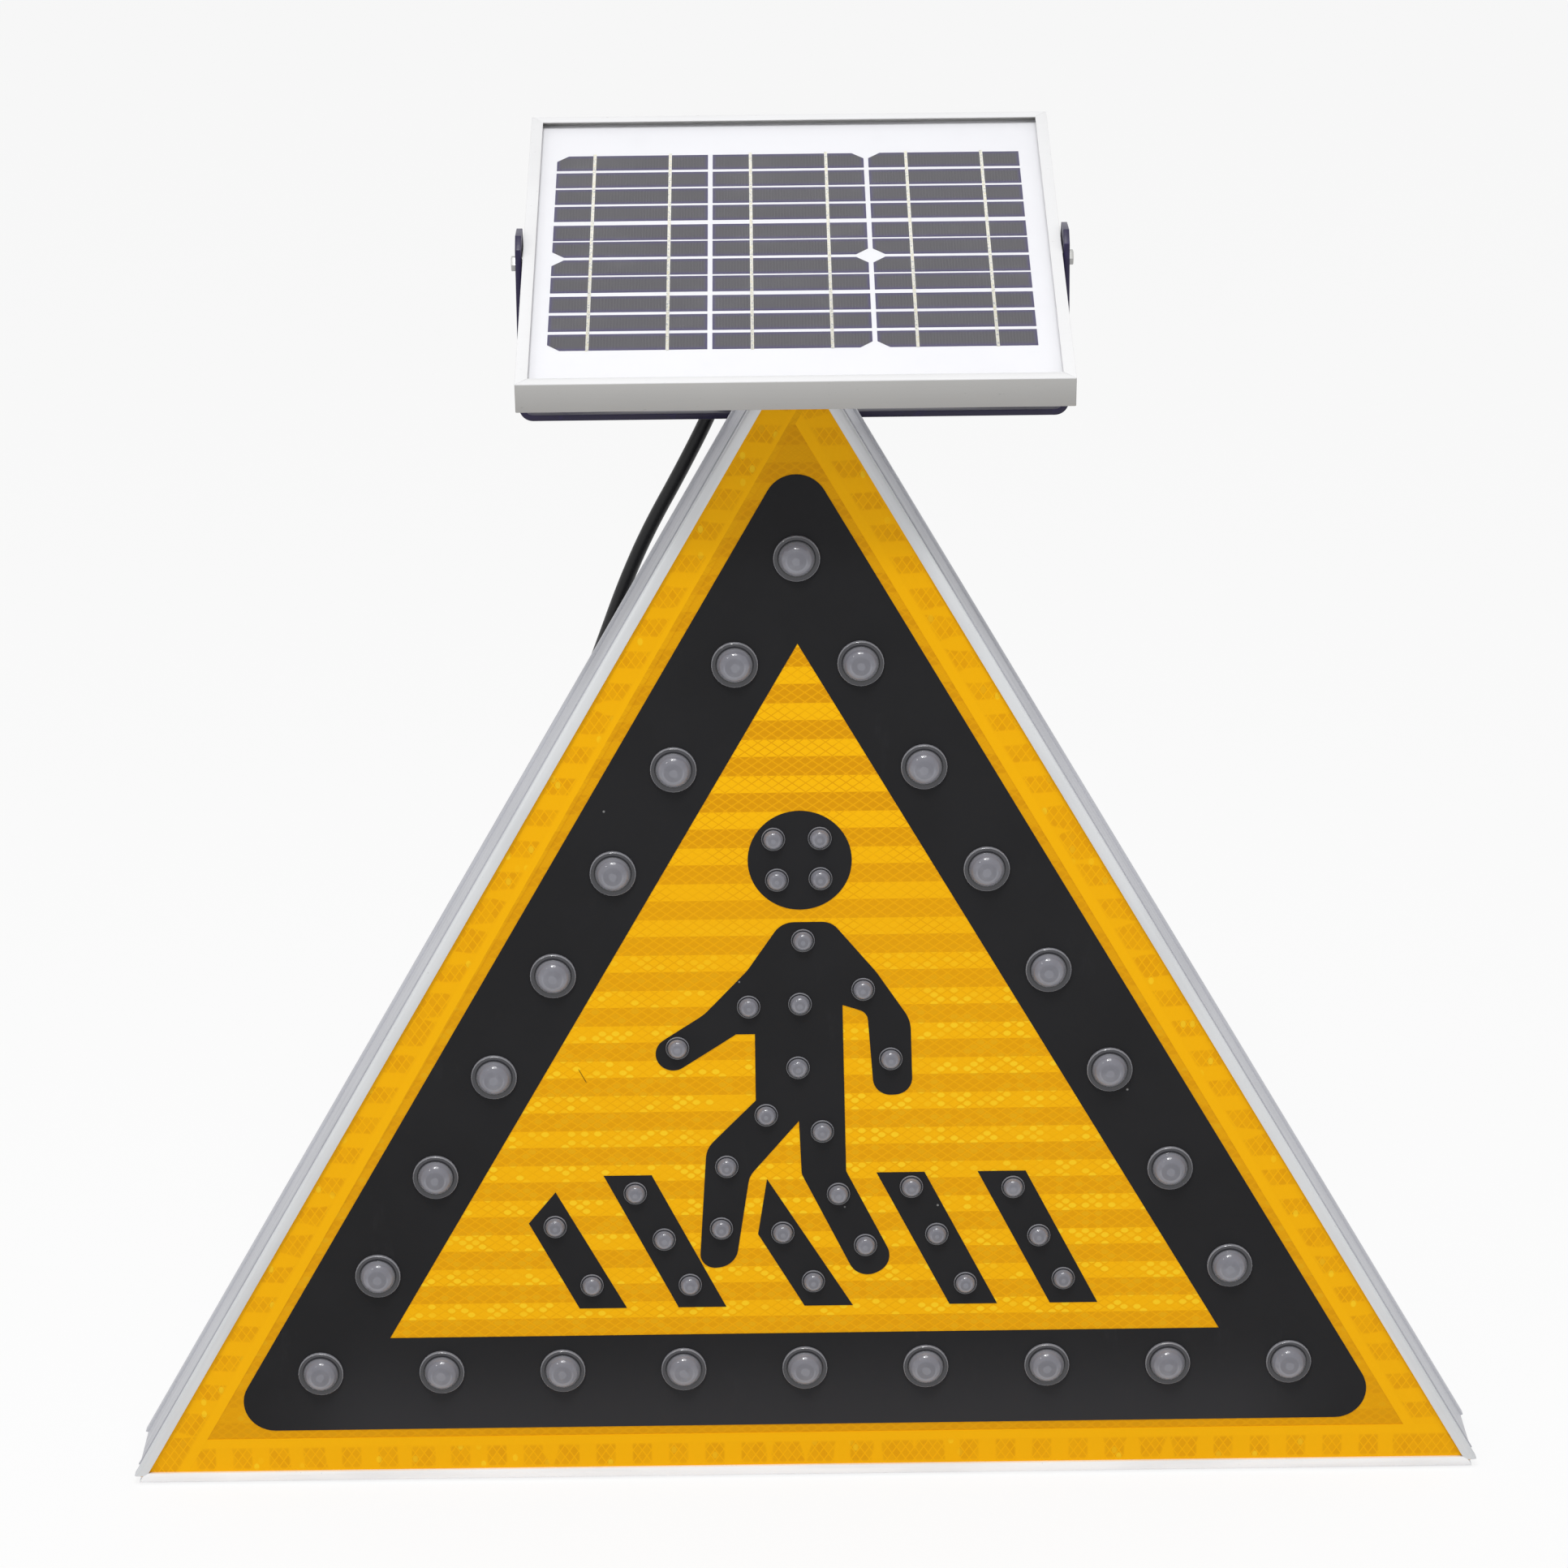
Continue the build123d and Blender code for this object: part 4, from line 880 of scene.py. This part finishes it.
LARGE_LENS = [
    (0.0, 0.0), (11.6, 0.0), (11.6, 1.1), (11.45, 1.55), (11.1, 1.85), (10.65, 1.95), (9.6, 1.7), (9.05, 1.5),
    (8.7, 1.6), (8.6, 2.0), (8.45, 2.9), (8.0, 4.0), (7.15, 5.1), (5.95, 6.0), (4.35, 6.6), (2.25, 6.95),
    (0.0, 7.0),
]
SMALL_LENS = [
    (0.0, 0.0), (5.95, 0.0), (5.95, 0.7), (5.85, 1.05), (5.6, 1.2), (5.3, 1.1), (5.0, 1.0),
    (4.9, 1.3), (4.8, 1.9), (4.5, 2.7), (3.95, 3.5), (3.1, 4.1), (1.9, 4.5), (0.85, 4.6), (0.0, 4.6),
]
UPRIGHT_LENS = Matrix.Rotation(math.radians(90.0), 4, "X")   # a lens's Z turned forward, its Y turned up


class SIGN_OT_lenses(bpy.types.Operator):
    """Model the large and the small clear lenses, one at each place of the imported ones"""
    bl_idname = "crossing_sign.lenses"
    bl_label = "Lenses"

    def execute(self, context):
        lamps = context.scene.sign_lamps
        draw = random.Random(24)
        for name, node, profile, dome, drop in (("large_lenses", "large_lamp_lenses", LARGE_LENS, 0.74, 0.7),
                                                ("small_lenses", "small_lamp_lenses", SMALL_LENS, 0.82, 0.4)):
            places = []
            tones = []
            for low, high in solids(node):
                spot = Vector(((low.x + high.x) / 2, high.y, (low.z + high.z) / 2 - drop * MM))
                places.append(Matrix.Translation(spot) @ UPRIGHT_LENS)
                tones.append(draw.random())
            finish = clear_lens(f"{name}_finish", lamps, dome)
            bm = copies(lens_shape(profile, lamps.steps), places, tones)
            add_piece(name, bm, "sign", "lens_clear", [node], finish)
        return {"FINISHED"}


class SIGN_OT_lamp_backs(bpy.types.Operator):
    """Model the round lamp bodies behind the lenses and finish their flat leads"""
    bl_idname = "crossing_sign.lamp_backs"
    bl_label = "Lamp bodies and leads"

    def execute(self, context):
        housing = moulding("lamp_housing_finish", colour(34, 34, 38), 0.45)
        for name, node, radius in (("large_bodies", "large_lamp_bodies", 10.0),
                                   ("small_bodies", "small_lamp_bodies", 5.0)):
            low, high = solids(node)[0]
            depth = (high.y - low.y) / MM
            radius *= math.cos(math.radians(30.0))
            profile = [(0.0, 0.0), (radius, 0.0), (radius, depth - 1.0), (radius - 1.0, depth),
                       (radius - 2.2, depth), (radius - 2.4, depth - 0.8), (0.0, depth - 0.8)]
            bm = copies(turned_shape(profile, 20), back_places(node))
            add_piece(name, bm, "sign", "lamp_housing", [node], housing)
        finish_nodes(moulding("lead_jacket", colour(32, 32, 36), 0.5, 0.5), "lamp_jumpers", "inner_leads")
        return {"FINISHED"}


def crossed(bm, top, radius, depth):
    """Sink a cross recess into the flat top of a turned head."""
    inner = [vertex for vertex in bm.verts if vertex.co.z > top * MM - MERGE
             and math.hypot(vertex.co.x, vertex.co.y) < radius * MM * 1.01]
    for vertex in inner:
        out = math.hypot(vertex.co.x, vertex.co.y)
        if out < MERGE:
            vertex.co.z -= depth * MM
            continue
        angle = math.atan2(vertex.co.y, vertex.co.x)
        arm = abs((angle / (math.pi / 2) + 0.5) % 1.0 - 0.5) * 2.0
        scale = 1.0 if arm < 0.3 else 0.34
        vertex.co.x *= scale
        vertex.co.y *= scale
    return bm


# Profiles of turned heads, as (radius, height) pairs in millimetres
SCREW_HEAD = [(0.0, 0.0), (3.9, 0.0), (3.95, 0.9), (3.4, 1.7), (2.4, 2.15), (1.6, 2.2), (0.0, 2.2)]
RIVET_HEAD = [(0.0, 0.0), (4.4, 0.0), (4.3, 0.45), (3.4, 1.0), (2.2, 1.35), (1.5, 1.45), (1.4, 0.9),
              (0.0, 0.7)]


class SIGN_OT_rear(bpy.types.Operator):
    """Finish the rear cover and the rails, and model their screws and rivets"""
    bl_idname = "crossing_sign.rear"
    bl_label = "Rear cover, rails, screws and rivets"

    def execute(self, context):
        metal = context.scene.sign_metal
        finish_nodes(sheet_metal("cover_sheet", metal.sheet), "rear_cover")
        rail_finish = sheet_metal("rail_sheet", metal.wall)
        for node in ("lower_rail", "upper_rail"):
            hat = softened(node, metal.soften)
            add_piece(f"{node}_hat", hat, "sign", "sheet_aluminium", [node], rail_finish)
        zinc = zinc_plate("zinc_plating", metal.zinc)
        screw = crossed(turned_shape(SCREW_HEAD, 24), 2.2, 1.65, 1.2)
        heads = copies(screw, back_places("cover_screws", random.Random(12)))
        add_piece("cover_screw_heads", heads, "sign", "zinc_steel", ["cover_screws"], zinc)
        rivets = copies(turned_shape(RIVET_HEAD, 20), back_places("rail_rivets"))
        bright = sheet_metal("rivet_metal", metal.rim)
        add_piece("rivet_heads", rivets, "sign", "rivet_aluminium", ["rail_rivets"], bright)
        return {"FINISHED"}


class SIGN_OT_electrics(bpy.types.Operator):
    """Finish the control board, its parts, the battery and its straps"""
    bl_idname = "crossing_sign.electrics"
    bl_label = "Board and battery"

    def execute(self, context):
        metal = context.scene.sign_metal
        finish_nodes(circuit_board("solder_mask"), "controller_board")
        black = moulding("board_moulding", colour(40, 40, 42), 0.4)
        parts = softened("board_parts", 0.4 * MM)
        add_piece("board_components", parts, "sign", "board_black", ["board_parts"], black)
        finish_nodes(zinc_plate("brass_turning", colour(200, 168, 96)), "board_standoffs")
        wrap = shrink_wrap("battery_shrink")
        block = softened("battery_pack", 2.5 * MM, 4)
        add_piece("battery_block", block, "sign", "battery_wrap", ["battery_pack"], wrap)
        finish_nodes(zinc_plate("strap_zinc", metal.zinc), "battery_strap")
        return {"FINISHED"}


class SIGN_OT_bracket(bpy.types.Operator):
    """Finish the U bracket and its support, and model their bolts, nuts and washers"""
    bl_idname = "crossing_sign.bracket"
    bl_label = "Panel bracket"

    def execute(self, context):
        metal = context.scene.sign_metal
        coat = powder_coat("bracket_coating", metal.coat)
        zinc = zinc_plate("bolt_zinc", metal.zinc)
        for name, node in (("bracket_strap", "u_bracket"), ("bracket_support", "support_angle")):
            add_piece(name, softened(node, metal.soften), "sign", "black_steel", [node], coat)

        low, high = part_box("bracket_bolt")
        spot = ((low.x + high.x) / 2, (low.y + high.y) / 2, 0.0)
        head = high.z / MM
        bolt = gathered(hexagon(12.9, head - 5.0, head, 0.7),
                        turned_shape([(0.0, low.z / MM), (3.4, low.z / MM), (3.9, low.z / MM + 0.6),
                                      (3.9, head - 5.0), (0.0, head - 5.0)], 24))
        bmesh.ops.translate(bolt, vec=spot, verts=bolt.verts)
        add_piece("bracket_hex_bolt", bolt, "sign", "zinc_steel", ["bracket_bolt"], zinc)
        low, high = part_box("bracket_nut")
        nut = hexagon(12.9, low.z / MM, high.z / MM, 0.7)
        bmesh.ops.translate(nut, vec=spot, verts=nut.verts)
        add_piece("bracket_hex_nut", nut, "sign", "zinc_steel", ["bracket_nut"], zinc)
        ring = [(4.0, 0.0), (7.8, 0.0), (8.0, 0.25), (8.0, 1.35), (7.8, 1.6), (4.0, 1.6)]
        places = [Matrix.Translation((spot[0], spot[1], low.z)) for low, high in solids("bracket_washers")]
        washers = copies(turned_shape(ring, 32, True), places)
        add_piece("bracket_flat_washers", washers, "sign", "zinc_steel", ["bracket_washers"], zinc)
        heads = copies(hexagon(9.9, 0.0, 4.0, 0.6), back_places("support_screws"))
        add_piece("support_hex_heads", heads, "sign", "zinc_steel", ["support_screws"], zinc)
        return {"FINISHED"}


class SIGN_OT_pivots(bpy.types.Operator):
    """Model the pivot bolts and their washers, and finish their nuts"""
    bl_idname = "crossing_sign.pivots"
    bl_label = "Pivot bolts"

    def execute(self, context):
        zinc = zinc_plate("pivot_zinc", context.scene.sign_metal.zinc)
        bolts = []
        for low, high in solids("pivot_bolts"):
            hand = 1.0 if low.x > 0 else -1.0
            inner = min(abs(low.x), abs(high.x)) / MM
            outer = max(abs(low.x), abs(high.x)) / MM
            foot = outer - 2.6
            shape = gathered(hexagon(6.9, foot, outer, 0.4),
                             turned_shape([(0.0, inner), (1.7, inner), (1.95, inner + 0.4), (1.95, foot),
                                           (0.0, foot)], 20))
            bolts.append(copies(shape, [facing((hand, 0, 0), (0.0, PIVOT.y, PIVOT.z))]))
        add_piece("pivot_hex_bolts", gathered(*bolts), "panel", "zinc_steel", ["pivot_bolts"], zinc)
        washers = []
        for low, high in solids("pivot_washers"):
            wide = (high.x - low.x) / MM
            ring = turned_shape([(2.05, 0.0), (5.9, 0.0), (5.9, wide), (2.05, wide)], 28, True)
            washers.append(copies(ring, [facing((1, 0, 0), (low.x, PIVOT.y, PIVOT.z))]))
        add_piece("pivot_flat_washers", gathered(*washers), "sign", "zinc_steel", ["pivot_washers"], zinc)
        finish_nodes(zinc, "pivot_nuts")
        return {"FINISHED"}


class SIGN_OT_panel_frame(bpy.types.Operator):
    """Soften and finish the four mitred lengths of the panel's frame"""
    bl_idname = "crossing_sign.panel_frame"
    bl_label = "Panel frame"

    def execute(self, context):
        flat = panel_place().inverted()
        top = max((flat @ vertex.co).z for vertex in frame["nodes"]["panel_frame_front"].data.vertices)
        finish = anodised("panel_anodising", context.scene.sign_panel, top / MM)
        for side in ("front", "rear", "left", "right"):
            node = f"panel_frame_{side}"
            add_piece(f"panel_edge_{side}", softened(node, context.scene.sign_metal.soften), "panel",
                      "panel_aluminium", [node], finish)
        return {"FINISHED"}


ROW_DRIFT = (0.3, 0.2, 0.8, 1.1, -0.6, 0.5, 0.4, 1.4, 0.2, 0.0, -0.3)   # rows laid by hand, in millimetres
ROWS_OFF = (-1.0, 1.4)      # how far the strips lie off the pane's middle, across and along, in millimetres
COLUMN_GAP = 2.4
ROW_PITCH = 19.1
RIBBON_PAST = (0.7, 1.6)    # how far the ribbons reach past the strips, at the foot and at the top
CELL_CHAMFER = 8.5
FIRST_GROUP = 6


class SIGN_OT_cells(bpy.types.Operator):
    """Model the cell strips as they are laid, and finish the ribbons, the glass and the backsheet"""
    bl_idname = "crossing_sign.cells"
    bl_label = "Cells, glass and backsheet"

    def execute(self, context):
        panel = context.scene.sign_panel
        draw = random.Random(33)
        flat = panel_place().inverted()
        strips = bmesh.new()
        bm = merged("solar_cells")
        bm.transform(flat)
        low = min(vertex.co.z for vertex in bm.verts)
        high = max(vertex.co.z for vertex in bm.verts)
        left = min(vertex.co.x for vertex in bm.verts)
        foot = min(vertex.co.y for vertex in bm.verts)
        wide = -2.0 * left
        bm.free()
        gap = COLUMN_GAP * MM
        cell_wide = (wide - 2 * gap) / 3
        pitch = ROW_PITCH * MM
        cell_long = -2.0 * foot - 10 * pitch
        uv = strips.loops.layers.uv.new("UVMap")
        tone = strips.verts.layers.float.new("tone")
        for column in range(3):
            across = (column - 1) * (cell_wide + gap) + ROWS_OFF[0] * MM
            chamfer_side = 1 if column == 1 else -1
            for row in range(11):
                up = (5 - row) * pitch + (ROW_DRIFT[row] + ROWS_OFF[1]) * MM
                add_strip(strips, uv, tone, (across, up, low), (cell_wide, cell_long, high - low), draw,
                          cut_corners(row), chamfer_side)
        ends = [vertex.co.y for vertex in strips.verts]
        strips.transform(panel_place())
        grey = silicon("silicon_strip", panel)
        add_piece("cell_strips", strips, "panel", "cell_silicon", ["solar_cells"], grey)

        ribbons = merged("cell_ribbons")
        ribbons.transform(flat)
        middle = sum(vertex.co.y for vertex in ribbons.verts) / len(ribbons.verts)
        ribbon_foot = min(ends) - RIBBON_PAST[0] * MM
        ribbon_top = max(ends) + RIBBON_PAST[1] * MM
        for vertex in ribbons.verts:
            vertex.co.x += ROWS_OFF[0] * MM
            vertex.co.y = ribbon_top if vertex.co.y > middle else ribbon_foot
        ribbons.transform(panel_place())
        add_piece("cell_strings", ribbons, "panel", "tinned_ribbon", ["cell_ribbons"],
                  tinned("tinned_copper", panel))
        finish_nodes(pane("front_glass"), "panel_glass")
        finish_nodes(backsheet("white_laminate", panel), "backsheet")
        return {"FINISHED"}


def cut_corners(row):
    """Which of a strip's ends, up or down the panel, has the round wafer's cut corner."""
    ends = []
    if row in (0, FIRST_GROUP):
        ends.append(1)
    if row in (FIRST_GROUP - 1, 10):
        ends.append(-1)
    return ends


def add_strip(bm, uv, tone, place, size, draw, ends, side):
    """One cell strip: a quad with its cut corners, given its thickness and its own shade."""
    middle = Matrix.Translation(place) @ Matrix.Rotation(math.radians(draw.uniform(-0.12, 0.12)), 4, "Z")
    shade = draw.random()
    signs = ((-1, -1), (1, -1), (1, 1), (-1, 1))
    quad = [bm.verts.new((x * size[0] / 2, y * size[1] / 2, 0.0)) for x, y in signs]
    bm.faces.new(quad)
    cut = [vertex for vertex in quad if vertex.co.x * side > 0 and any(vertex.co.y * end > 0 for end in ends)]
    if cut:
        bmesh.ops.bevel(bm, geom=cut, offset=CELL_CHAMFER * math.sqrt(2.0) / 2 * MM, offset_type="OFFSET",
                        segments=1, profile=0.5, affect="VERTICES", material=-1)
    bm.faces.ensure_lookup_table()
    face = bm.faces[-1]
    corners = set(face.verts)
    wall = bmesh.ops.extrude_face_region(bm, geom=[face])
    raised = [item for item in wall["geom"] if isinstance(item, bmesh.types.BMVert)]
    bmesh.ops.translate(bm, vec=(0, 0, size[2]), verts=raised)
    group = corners | set(raised)
    faces = {face for vertex in group for face in vertex.link_faces}
    for item in faces:
        for loop in item.loops:
            loop[uv].uv = (loop.vert.co.x / size[0] + 0.5, loop.vert.co.y / size[1] + 0.5)
    bmesh.ops.recalc_face_normals(bm, faces=list(faces))
    for vertex in group:
        vertex[tone] = shade
        vertex.co = middle @ vertex.co


class SIGN_OT_junction_box(bpy.types.Operator):
    """Round and finish the junction box, and model its strain relief"""
    bl_idname = "crossing_sign.junction_box"
    bl_label = "Junction box"

    def execute(self, context):
        black = moulding("box_moulding", colour(34, 34, 36), 0.5)
        for name, node, radius in (("box_body", "junction_box", 0.8), ("box_cover", "junction_lid", 0.6)):
            add_piece(name, softened(node, radius * MM, 3), "panel", "black_plastic", [node], black)
        exit_point = millimetres(*CABLE_ROUTE[0])
        away = (millimetres(*CABLE_ROUTE[1]) - exit_point).normalized()
        ribs = [(0.0, 0.0), (5.9, 0.0), (5.9, 1.2)]
        for index in range(4):
            foot = 1.6 + index * 2.0
            radius = 5.5 - index * 0.32
            groove = radius - 0.7
            ribs += [(groove, foot), (groove, foot + 0.7), (radius, foot + 0.9), (radius, foot + 1.6)]
        ribs += [(4.5, 9.8), (3.9, 10.0), (0.0, 10.0)]
        relief = copies(turned_shape(ribs, 24), [facing(away, exit_point - away * 10.0 * MM)])
        add_piece("box_relief", relief, "panel", "black_plastic", ["box_gland"], black)
        return {"FINISHED"}


def fluted(bm, low, high, count, depth):
    """Press shallow flutes into the stretch of a turned cap between two heights."""
    for vertex in bm.verts:
        if low * MM < vertex.co.z < high * MM:
            angle = math.atan2(vertex.co.y, vertex.co.x)
            out = math.hypot(vertex.co.x, vertex.co.y)
            shrink = 1.0 - depth * MM * (0.5 - 0.5 * math.cos(count * angle)) / max(out, MM)
            vertex.co.x *= shrink
            vertex.co.y *= shrink
    return bm


class SIGN_OT_cable(bpy.types.Operator):
    """Lay the panel's lead along its route and model the gland that it goes into"""
    bl_idname = "crossing_sign.cable"
    bl_label = "Lead and gland"

    def execute(self, context):
        route = bpy.data.curves.new("lead_route", "CURVE")
        route.dimensions = "3D"
        spline = route.splines.new("NURBS")
        spline.points.add(len(CABLE_ROUTE) - 1)
        for point, place in zip(spline.points, CABLE_ROUTE):
            point.co = (*millimetres(*place), 1.0)
        spline.order_u = 3
        spline.use_endpoint_u = True
        spline.resolution_u = 8
        guide = bpy.data.objects.new("lead_guide", route)
        context.scene.collection.objects.link(guide)
        line = bpy.data.meshes.new_from_object(guide)
        bpy.data.meshes.remove(line)
        route.bevel_depth = CABLE_WIDE / 2 * MM
        route.bevel_resolution = 4
        route.use_fill_caps = True
        mesh = bpy.data.meshes.new_from_object(guide)
        bpy.data.objects.remove(guide)
        bpy.data.curves.remove(route)
        bm = bmesh.new()
        bm.from_mesh(mesh)
        bpy.data.meshes.remove(mesh)
        bmesh.ops.remove_doubles(bm, verts=bm.verts, dist=MERGE)
        bmesh.ops.recalc_face_normals(bm, faces=bm.faces)
        lead = add_piece("panel_lead", bm, None, "lead_cover", ["panel_cable"], cable_jacket("lead_pvc"))
        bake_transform(lead)

        black = moulding("gland_moulding", colour(30, 30, 33), 0.45)
        low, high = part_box("case_gland")
        cap_low, cap_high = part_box("case_gland_cap")
        spot = Vector(((low.x + high.x) / 2, 0.0, (low.z + high.z) / 2))
        body = gathered(hexagon(18.9, high.y / MM - 6.0, high.y / MM, 0.6),
                        turned_shape([(0.0, low.y / MM), (7.2, low.y / MM), (7.8, low.y / MM + 0.8),
                                      (7.8, high.y / MM - 6.0), (0.0, high.y / MM - 6.0)], 28))
        body = copies(body, [facing(BACKWARD, spot)])
        add_piece("gland_body", body, "sign", "black_plastic", ["case_gland"], black)
        foot = cap_low.y / MM
        top = cap_high.y / MM
        cap = turned_shape([(0.0, foot), (7.7, foot), (7.9, foot + 0.8), (7.8, foot + 2.0), (7.6, foot + 9.0),
                            (7.2, foot + 11.0), (6.2, top - 2.0), (5.3, top - 0.4), (4.6, top), (3.9, top),
                            (3.8, top - 1.0), (0.0, top - 1.0)], 48)
        cap = fluted(cap, foot + 0.9, foot + 10.0, 12, 0.6)
        add_piece("gland_dome", copies(cap, [facing(BACKWARD, spot)]), "sign", "black_plastic",
                  ["case_gland_cap"], black)
        finish_nodes(black, "case_gland_nut")
        return {"FINISHED"}


CAMERA_AT = (-0.01816, -2.61538, 0.91559)
CAMERA_YAW = math.radians(-0.243)
CAMERA_PITCH = math.radians(17.722)      # down
CAMERA_ROLL = math.radians(-0.64)
PHOTO_WIDE = 1932                        # pixels
FOCAL = 6596                             # pixels
SENSOR = 36.0                            # millimetres
FLOOR_HALF = 6.0                         # metres
FLOOR_SHADOW = 0.14                      # how much of the floor's own shade the camera sees

# The lights' names, with their widths and places in metres
LIGHTS = (
    ("overhead", 1.4, (0.0, -1.2, 2.6)),
    ("high", 0.36, (-0.35, -1.5, 2.6)),
    ("left", 0.3, (-1.7, -1.9, 1.9)),
)


def floor_finish(name, shade, shadow):
    """Pale matt floor that the camera sees as white, apart from the object's shadow."""
    finish = Finish(name, roughness=0.9, specular_ior_level=0.1)
    cloud = finish.noise(finish.object_mm(), 0.004, 2.0)
    finish.set(base_color=finish.mix(cloud, shade, scaled(shade, 0.985)))
    glow = finish.node("ShaderNodeEmission", None, {"Color": (1.0, 1.0, 1.0), "Strength": 1.0})
    matt = Link(finish, finish.shader.outputs[0])
    both = finish.node("ShaderNodeMixShader", None, {0: finish.seen() * (1.0 - shadow), 1: matt, 2: glow})
    finish.put(finish.tree.nodes["Material Output"].inputs["Surface"], both)
    return finish.material


class SIGN_OT_stage(bpy.types.Operator):
    """Set the floor, the soft lights, the pale surroundings and the camera"""
    bl_idname = "crossing_sign.stage"
    bl_label = "Stage"

    def execute(self, context):
        stage = context.scene.sign_stage
        scene = context.scene
        bm = bmesh.new()
        bmesh.ops.create_grid(bm, x_segments=1, y_segments=1, size=FLOOR_HALF,
                              matrix=Matrix.Translation((0, 0, FOOT * MM - stage.floor_drop)))
        mesh = bpy.data.meshes.new("floor")
        bm.to_mesh(mesh)
        bm.free()
        mesh.materials.append(floor_finish("pale_floor", stage.floor, FLOOR_SHADOW))
        floor = bpy.data.objects.new("floor", mesh)
        scene.collection.objects.link(floor)

        for name, size, place in LIGHTS:
            lamp = bpy.data.lights.new(f"{name}_light", "AREA")
            lamp.shape = "DISK"
            lamp.size = size
            lamp.energy = getattr(stage, name)
            light = bpy.data.objects.new(f"{name}_light", lamp)
            scene.collection.objects.link(light)
            light.location = place
            light.rotation_euler = (-Vector(place)).to_track_quat("-Z", "Y").to_euler()

        world = bpy.data.worlds.new("surroundings")
        world.use_nodes = True
        scene.world = world
        sky = Nodes(world.node_tree)
        background = sky.tree.nodes["Background"].inputs
        sky.put(background["Color"], (1.0, 1.0, 1.0))
        sky.put(background["Strength"], stage.sky + sky.seen() * (1.0 - stage.sky))

        data = bpy.data.cameras.new("camera")
        data.sensor_width = SENSOR
        data.lens = SENSOR * FOCAL / PHOTO_WIDE
        camera = bpy.data.objects.new("camera", data)
        scene.collection.objects.link(camera)
        camera.matrix_world = (Matrix.Translation(CAMERA_AT) @ Matrix.Rotation(CAMERA_YAW, 4, "Z")
                               @ Matrix.Rotation(math.pi / 2 - CAMERA_PITCH, 4, "X")
                               @ Matrix.Rotation(CAMERA_ROLL, 4, "Z"))
        scene.camera = camera
        scene.view_settings.view_transform = "Standard"
        return {"FINISHED"}


OPERATORS = (
    SIGN_OT_cable, SIGN_OT_case, SIGN_OT_face, SIGN_OT_lenses, SIGN_OT_lamp_backs, SIGN_OT_rear,
    SIGN_OT_electrics, SIGN_OT_bracket, SIGN_OT_pivots, SIGN_OT_panel_frame, SIGN_OT_cells,
    SIGN_OT_junction_box, SIGN_OT_stage,
)


class SIGN_PT_panel(bpy.types.Panel):
    """The sign's sizes, colours and pieces"""
    bl_idname = "SIGN_PT_panel"
    bl_label = "Crossing sign"
    bl_space_type = "VIEW_3D"
    bl_region_type = "UI"
    bl_category = "Crossing sign"

    def draw(self, context):
        for name, group in SETTINGS.items():
            box = self.layout.box()
            settings = getattr(context.scene, name)
            for field in group.__annotations__:
                box.prop(settings, field)
        for operator in OPERATORS:
            self.layout.operator(operator.bl_idname)


CLASSES = (*SETTINGS.values(), *OPERATORS, SIGN_PT_panel)


def register():
    for item in CLASSES:
        bpy.utils.register_class(item)
    for name, group in SETTINGS.items():
        setattr(bpy.types.Scene, name, PointerProperty(type=group))


def unregister():
    for name in SETTINGS:
        delattr(bpy.types.Scene, name)
    for item in reversed(CLASSES):
        bpy.utils.unregister_class(item)


def main():
    register()
    for operator in OPERATORS:
        group, name = operator.bl_idname.split(".")
        getattr(getattr(bpy.ops, group), name)()


if __name__ == "__main__":
    main()
